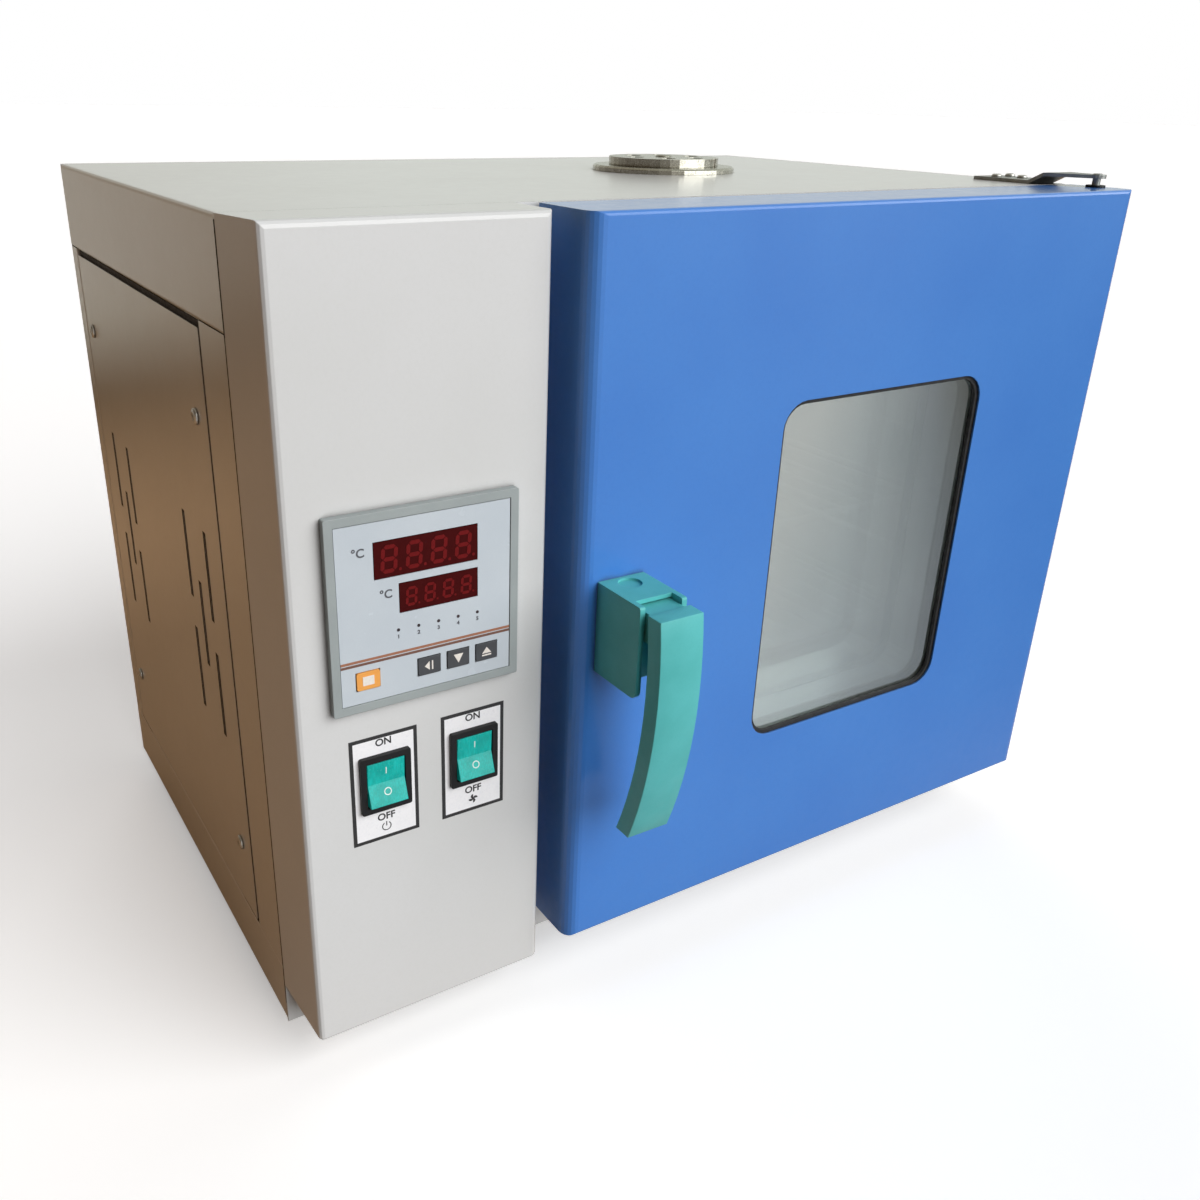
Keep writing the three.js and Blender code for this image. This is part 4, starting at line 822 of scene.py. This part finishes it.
def recess(radius, rise):
    """The cutter for a cross recess: two crossed arms that narrow towards their floor."""
    length, width = 2 * radius * recess_share, 2 * radius * recess_slot_share
    top = rect(length, width)
    base = rect(length * recess_base_share, width * recess_base_slot_share)
    bm = bmesh.new()
    for turn in (0, quarter_turn):
        turned = Matrix.Rotation(turn, 3, "Z")
        upper, lower = [[bm.verts.new(turned @ Vector((x, y, rise * level))) for x, y in outline]
                        for outline, level in ((top, recess_top_share), (base, recess_floor_share))]
        bm.faces.new(upper)
        bm.faces.new(lower[::-1])
        for i in range(len(upper)):
            j = (i + 1) % len(upper)
            bm.faces.new((lower[i], lower[j], upper[j], upper[i]))
    return mesh_of(bm, "recess")


def screw_mesh(radius_mm, height_mm):
    """A pan head with a cross recess, its seat on the xy plane and its shank below."""
    radius, rise = radius_mm * MM, height_mm * MM
    shank, depth = radius * shank_share, screw_shank_depth * MM
    outline = [(0.0, rise)]
    for angle in (math.radians(a) for a in dome_angles):
        outline.append((radius * (crown_share + (1 - crown_share) * math.sin(angle)),
                        rise * (shoulder_share + (1 - shoulder_share) * math.cos(angle))))
    outline += [(radius, rise * rim_share), (radius, 0.0), (shank, 0.0), (shank, -depth), (0.0, -depth)]
    bm = bmesh.new()
    points = [bm.verts.new((x, 0, z)) for x, z in outline]
    edges = [bm.edges.new(pair) for pair in zip(points, points[1:])]
    bmesh.ops.spin(bm, geom=points + edges, cent=(0, 0, 0), axis=(0, 0, 1), angle=full_turn,
                   steps=screw_steps, use_merge=True)
    bmesh.ops.remove_doubles(bm, verts=bm.verts, dist=screw_weld * MM)
    item = added("screw", mesh_of(bm, "screw"))
    tool = added("recess", recess(radius, rise))
    cut = item.modifiers.new("cut", "BOOLEAN")
    cut.operation = "DIFFERENCE"
    cut.object = tool
    cut.use_self = True
    mesh = shape_of(item)
    bpy.data.objects.remove(tool)
    for polygon in mesh.polygons:
        polygon.use_smooth = polygon.normal.z < crown_normal
    return mesh


def placed_screw(name, pattern, seat, turn):
    mesh = pattern.copy()
    mesh.transform(seat @ Matrix.Rotation(math.radians(turn), 4, "Z"))
    return adopted(name, mesh, "screw_steel", "cabinet")


def screws():
    side = screw_mesh(side_screw_radius, side_screw_height)
    wall = Face("left_side_panel", towards=(1, 0, 0))
    for number, turn in enumerate(side_screw_turns, 1):
        name = f"side_panel_screw_{number}"
        seat = wall.at(middle(name) - Vector((0, wall_probe * MM, 0)))
        seat.translation = Vector((seat.translation.x, middle(name).y, middle(name).z))
        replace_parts(placed_screw(f"side_screw_{number}", side, seat, turn), name)
    small = screw_mesh(hinge_screw_radius, hinge_screw_height)
    low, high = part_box("hinge_plate_top")
    plate = Face("hinge_plate_top", towards=(0, 0, -1), up=(0, 1, 0))
    for number, (x, y, turn) in enumerate(hinge_screws, 1):
        spot = Vector((low.x + x * MM, high.y - y * MM, high.z))
        seat = plate.at(spot + Vector((hinge_hole_probe * MM, 0, 0)))
        seat.translation = Vector((spot.x, spot.y, seat.translation.z))
        placed_screw(f"hinge_screw_{number}", small, seat, turn)
    low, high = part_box("rear_panel")
    back = Face("rear_panel", towards=(0, -1, 0))
    for number, (across, up, turn) in enumerate(rear_screws, 1):
        spot = Vector((low.x + (high.x - low.x) * across, high.y, low.z + (high.z - low.z) * up))
        placed_screw(f"rear_screw_{number}", small, back.at(spot), turn)


def panel_gap():
    """Painted shade: a dark strip in the gap over the removable panel."""
    low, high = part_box("left_side_panel")
    rise = (gap_strip_clear + gap_strip_height / 2) * MM
    seat = Face("top_cover", towards=(1, 0, 0)).at((0, (low.y + high.y) / 2, high.z + rise))
    bm = bmesh.new()
    grown(rect((high.y - low.y) / MM, gap_strip_height), bm, gap_strip_depth)
    laid("panel_gap_strip", bm, seat, "gap_shade_strip", "cabinet")


def cover_seam():
    """Painted shade: a dark line printed in the seam between the control cover and the side, wider beside the
    top than beside the post.
    """
    low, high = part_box("control_cover")
    joint = (high.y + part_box("top_cover")[0].y) / 2
    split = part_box("left_side_panel")[1].z + (gap_strip_height + 2 * gap_strip_clear) * MM
    top = high.z - seam_top_drop * MM
    wall = Face("front_frame", towards=(1, 0, 0))
    for name, width, start, end in (("upper", seam_width_high, split, top),
                                    ("lower", seam_width_low, low.z, split)):
        seat = wall.at((0, joint, (start + end) / 2))
        printed(f"cover_seam_{name}", [rect(width, (end - start) / MM)], seat, "gap_shade_strip", "cabinet")


def slot_edges():
    """Painted shade: dark rims printed round the cooling slots, in two groups."""
    low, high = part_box("left_side_panel")
    wall = Face("left_side_panel", towards=(1, 0, 0))
    for group, y in (("front", low.y + front_slots * MM), ("rear", high.y - rear_slots * MM)):
        bm = bmesh.new()
        for column, row in slot_group:
            x, z = column * slot_pitch, row * slot_row_step
            edge = rect(slot_width + 2 * slot_rim, slot_length + 2 * slot_rim, x=x, y=z)
            band(edge, rect(slot_width, slot_length, x=x, y=z), bm)
        seat = wall.at((0, y + slot_pitch / 2 * MM, (low.z + high.z) / 2))
        seat.translation.y = y
        laid(f"{group}_slot_edges", bm, seat, "gap_shade_strip", "cabinet")


def lever_blade():
    """The lever with its stepped edges filled out, rounded off, and its bow smooth."""
    low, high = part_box("handle_lever")
    centre, half = (low.x + high.x) / 2, (high.x - low.x) / 2
    near = same_place * MM
    bm = bmesh.new()
    bm.from_mesh(nodes["handle_lever"].data)
    bmesh.ops.remove_doubles(bm, verts=bm.verts, dist=near)
    rims, steps = {}, {}
    for vertex in bm.verts:
        level = (vertex.co.x > centre, round(vertex.co.z / near))
        across = abs(vertex.co.x - centre)
        if abs(across - half) < near:
            rims.setdefault(level, []).append(vertex.co.copy())
        elif abs(across - half + lever_edge * MM) < near:
            steps.setdefault(level, []).append(vertex)
    for level, row in steps.items():
        row.sort(key=lambda v: v.co.y)
        for vertex in (row[0], row[-1]):
            vertex.co.x = rims[level][0].x
        for vertex in row[1:-1]:
            vertex.co = min(rims[level], key=lambda corner: abs(corner.y - vertex.co.y))
    bmesh.ops.remove_doubles(bm, verts=bm.verts, dist=near)
    bmesh.ops.dissolve_degenerate(bm, edges=bm.edges, dist=near)
    rim = [edge for edge in bm.edges if edge.calc_face_angle(0) > math.radians(rim_angle)
           and all(abs(abs(v.co.x - centre) - half) < near for v in edge.verts)]
    bmesh.ops.bevel(bm, geom=rim, offset=lever_round * MM, segments=lever_round_steps, profile=0.5,
                    affect="EDGES", clamp_overlap=True)
    for face in bm.faces:
        face.smooth = True
    for edge in bm.edges:
        edge.smooth = edge.calc_face_angle(0) < math.radians(smooth_angle)
    blade = adopted("lever_blade", mesh_of(bm, "lever_blade"), "handle_plastic", "lever")
    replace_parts(blade, "handle_lever")


def power_symbol():
    """A broken ring with a bar in its gap."""
    bm = bmesh.new()
    half = math.radians(symbol_gap)
    start, turn = quarter_turn + half, full_turn - 2 * half
    outside = ring_points(symbol_radius, symbol_steps, start, turn)
    inside = ring_points(symbol_radius - symbol_line, symbol_steps, start, turn)
    band(outside, inside, bm, closed=False)
    grown(rect(symbol_line, symbol_radius, y=symbol_radius * symbol_bar_share), bm)
    return bm


def fan_symbol():
    """Curved blades round a hub."""
    bm = bmesh.new()
    blade = ring_points(symbol_radius * blade_radius_share, symbol_steps // 2, turn=math.pi,
                        x=symbol_radius * blade_offset_share)
    for number in range(fan_blades):
        turn = number * full_turn / fan_blades
        grown([(x * math.cos(turn) - y * math.sin(turn), x * math.sin(turn) + y * math.cos(turn))
               for x, y in blade], bm)
    grown(ring_points(symbol_line, hub_steps), bm, hub_height)
    return bm


def switch_labels():
    """A white label with a dark border round each switch, with its words and symbol."""
    for name, symbol in (("power", power_symbol), ("fan", fan_symbol)):
        low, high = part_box(f"{name}_switch_housing")
        centre = (low + high) / 2
        spot = Vector((centre.x, 0, centre.z - label_drop * MM))
        seat = Face("control_cover").at(spot + Vector((label_width * MM, 0, -label_height * MM)) / 2)
        seat.translation = Vector((spot.x, seat.translation.y, spot.z))
        outer = rect(label_width, label_height)
        inner = rect(label_width - 2 * label_border, label_height - 2 * label_border)
        hole = rect((high.x - low.x) / MM - label_gap, (high.z - low.z) / MM - label_gap, y=label_drop)
        bordered(f"{name}_label_border", outer, inner, seat, "black_ink", "cabinet")
        bordered(f"{name}_label", inner, hole, seat, "label_white", "cabinet")
        over = seat @ Matrix.Translation((0, 0, print_thickness * MM))
        top = seat.translation.z + label_height / 2 * MM
        for mark, bm, z in (("on", lettering("ON", letter_height), top - on_drop * MM),
                            ("off", lettering("OFF", letter_height), low.z - off_drop * MM),
                            ("symbol", symbol(), low.z - symbol_drop * MM)):
            over.translation.z = z
            laid(f"{name}_label_{mark}", bm, over, "black_ink", "cabinet")


def rocker_marks():
    """A bar on the upper half of each rocker and a ring on the lower half."""
    outside = ring_points(ring_radius, ring_steps)
    inside = ring_points(ring_radius - mark_line, ring_steps)
    for name in ("power", "fan"):
        body = f"{name}_rocker"
        centre = middle(f"{name}_switch_rocker")
        face = Face(f"{name}_switch_rocker")
        place = face.at(centre + Vector((0, 0, bar_rise * MM)))
        printed(f"{name}_rocker_bar", [rect(mark_line, bar_height)], place, "white_ink", body)
        place = face.at(centre - Vector((0, 0, ring_drop * MM)))
        bordered(f"{name}_rocker_ring", outside, inside, place, "white_ink", body)


def digits(display_name, digit_height, digit_width, pitch):
    """Unlit seven-segment figures with their points, faint on the red filter."""
    line = digit_height * segment_share
    half = line / 2
    gap = line * segment_gap_share
    lean = math.tan(math.radians(digit_lean))
    tall, wide = digit_height / 2 - half, digit_width / 2 - half
    bars = [((-wide, tall * k), (wide, tall * k)) for k in (-1, 0, 1)]
    bars += [((wide * k, tall * m), (wide * k, tall * (m + 1))) for k in (-1, 1) for m in (-1, 0)]
    outlines = []
    for number in range(digit_count):
        shift = (number - (digit_count - 1) / 2) * pitch
        for start, end in bars:
            run = (Vector(end) - Vector(start)).normalized()
            side = Vector((-run.y, run.x)) * half
            first, last = Vector(start) + run * gap, Vector(end) - run * gap
            outline = [first, first + run * half - side, last - run * half - side,
                       last, last - run * half + side, first + run * half + side]
            outlines.append([(shift + q.x + q.y * lean, q.y) for q in outline])
        outlines.append(ring_points(half * point_share, point_steps,
                                    x=shift + wide + line * point_offset_share, y=-tall))
    place = Face(display_name).at(middle(display_name))
    printed(f"{display_name}_digits", outlines, place, "display_segment", "cabinet")


def controller_print():
    """Digits, units, numbered lamps and two stripes on the controller's face."""
    face = Face("controller_face")
    low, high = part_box("controller_face")
    digits("upper_display", *upper_digits)
    digits("lower_display", *lower_digits)
    for name, (aside, rise) in unit_places.items():
        place = face.at((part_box(name)[0].x - aside * MM, 0, middle(name).z + rise * MM))
        laid(f"{name}_unit", lettering("\u00b0C", unit_height), place, "grey_ink", "cabinet")
    right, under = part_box("lower_display")[1].x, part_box("lower_display")[0].z
    for number in range(1, lamp_count + 1):
        x = right - (lamp_count - number) * lamp_pitch * MM
        place = face.at((x, 0, under - lamp_drop * MM))
        printed(f"lamp_{number}", [ring_points(lamp_radius, lamp_steps)], place, "dark_lamp", "cabinet")
        place = face.at((x, 0, under - number_drop * MM))
        laid(f"lamp_number_{number}", lettering(str(number), number_height), place, "grey_ink", "cabinet")
    stripe = rect((high.x - low.x) / MM, stripe_height)
    for name, rise, finish in (("upper", stripe_pitch / 2, "orange_ink"),
                               ("lower", -stripe_pitch / 2, "brown_ink")):
        place = face.at(((low.x + high.x) / 2, 0, under - (stripe_drop - rise) * MM))
        printed(f"{name}_stripe", [stripe], place, finish, "cabinet")


def key_marks():
    """Arrows on the three dark keys and a light window on the orange one."""
    wide, tall = arrow_size
    marks = {
        "shift": [[(-wide / 2, 0), (0, -tall / 2), (0, tall / 2)],
                  rect(arrow_line, tall, x=wide * shift_bar_share)],
        "down": [[(-wide / 2, tall / 2), (0, -tall / 2), (wide / 2, tall / 2)]],
        "up": [[(-wide / 2, -tall * up_base_share), (wide / 2, -tall * up_base_share), (0, tall / 2)],
               rect(wide, arrow_line, y=-tall * up_bar_share)],
        "set": [rect(*set_light)],
    }
    for name, outlines in marks.items():
        place = Face(f"{name}_key").at(middle(f"{name}_key"))
        printed(f"{name}_key_mark", outlines, place, "light_print", f"{name}_button")


camera()
studio()
panel_gap()
cover_seam()
slot_edges()
lever_blade()
switch_labels()
rocker_marks()
controller_print()
key_marks()
screws()

cad_box = [list(corner) for corner in cad_box]
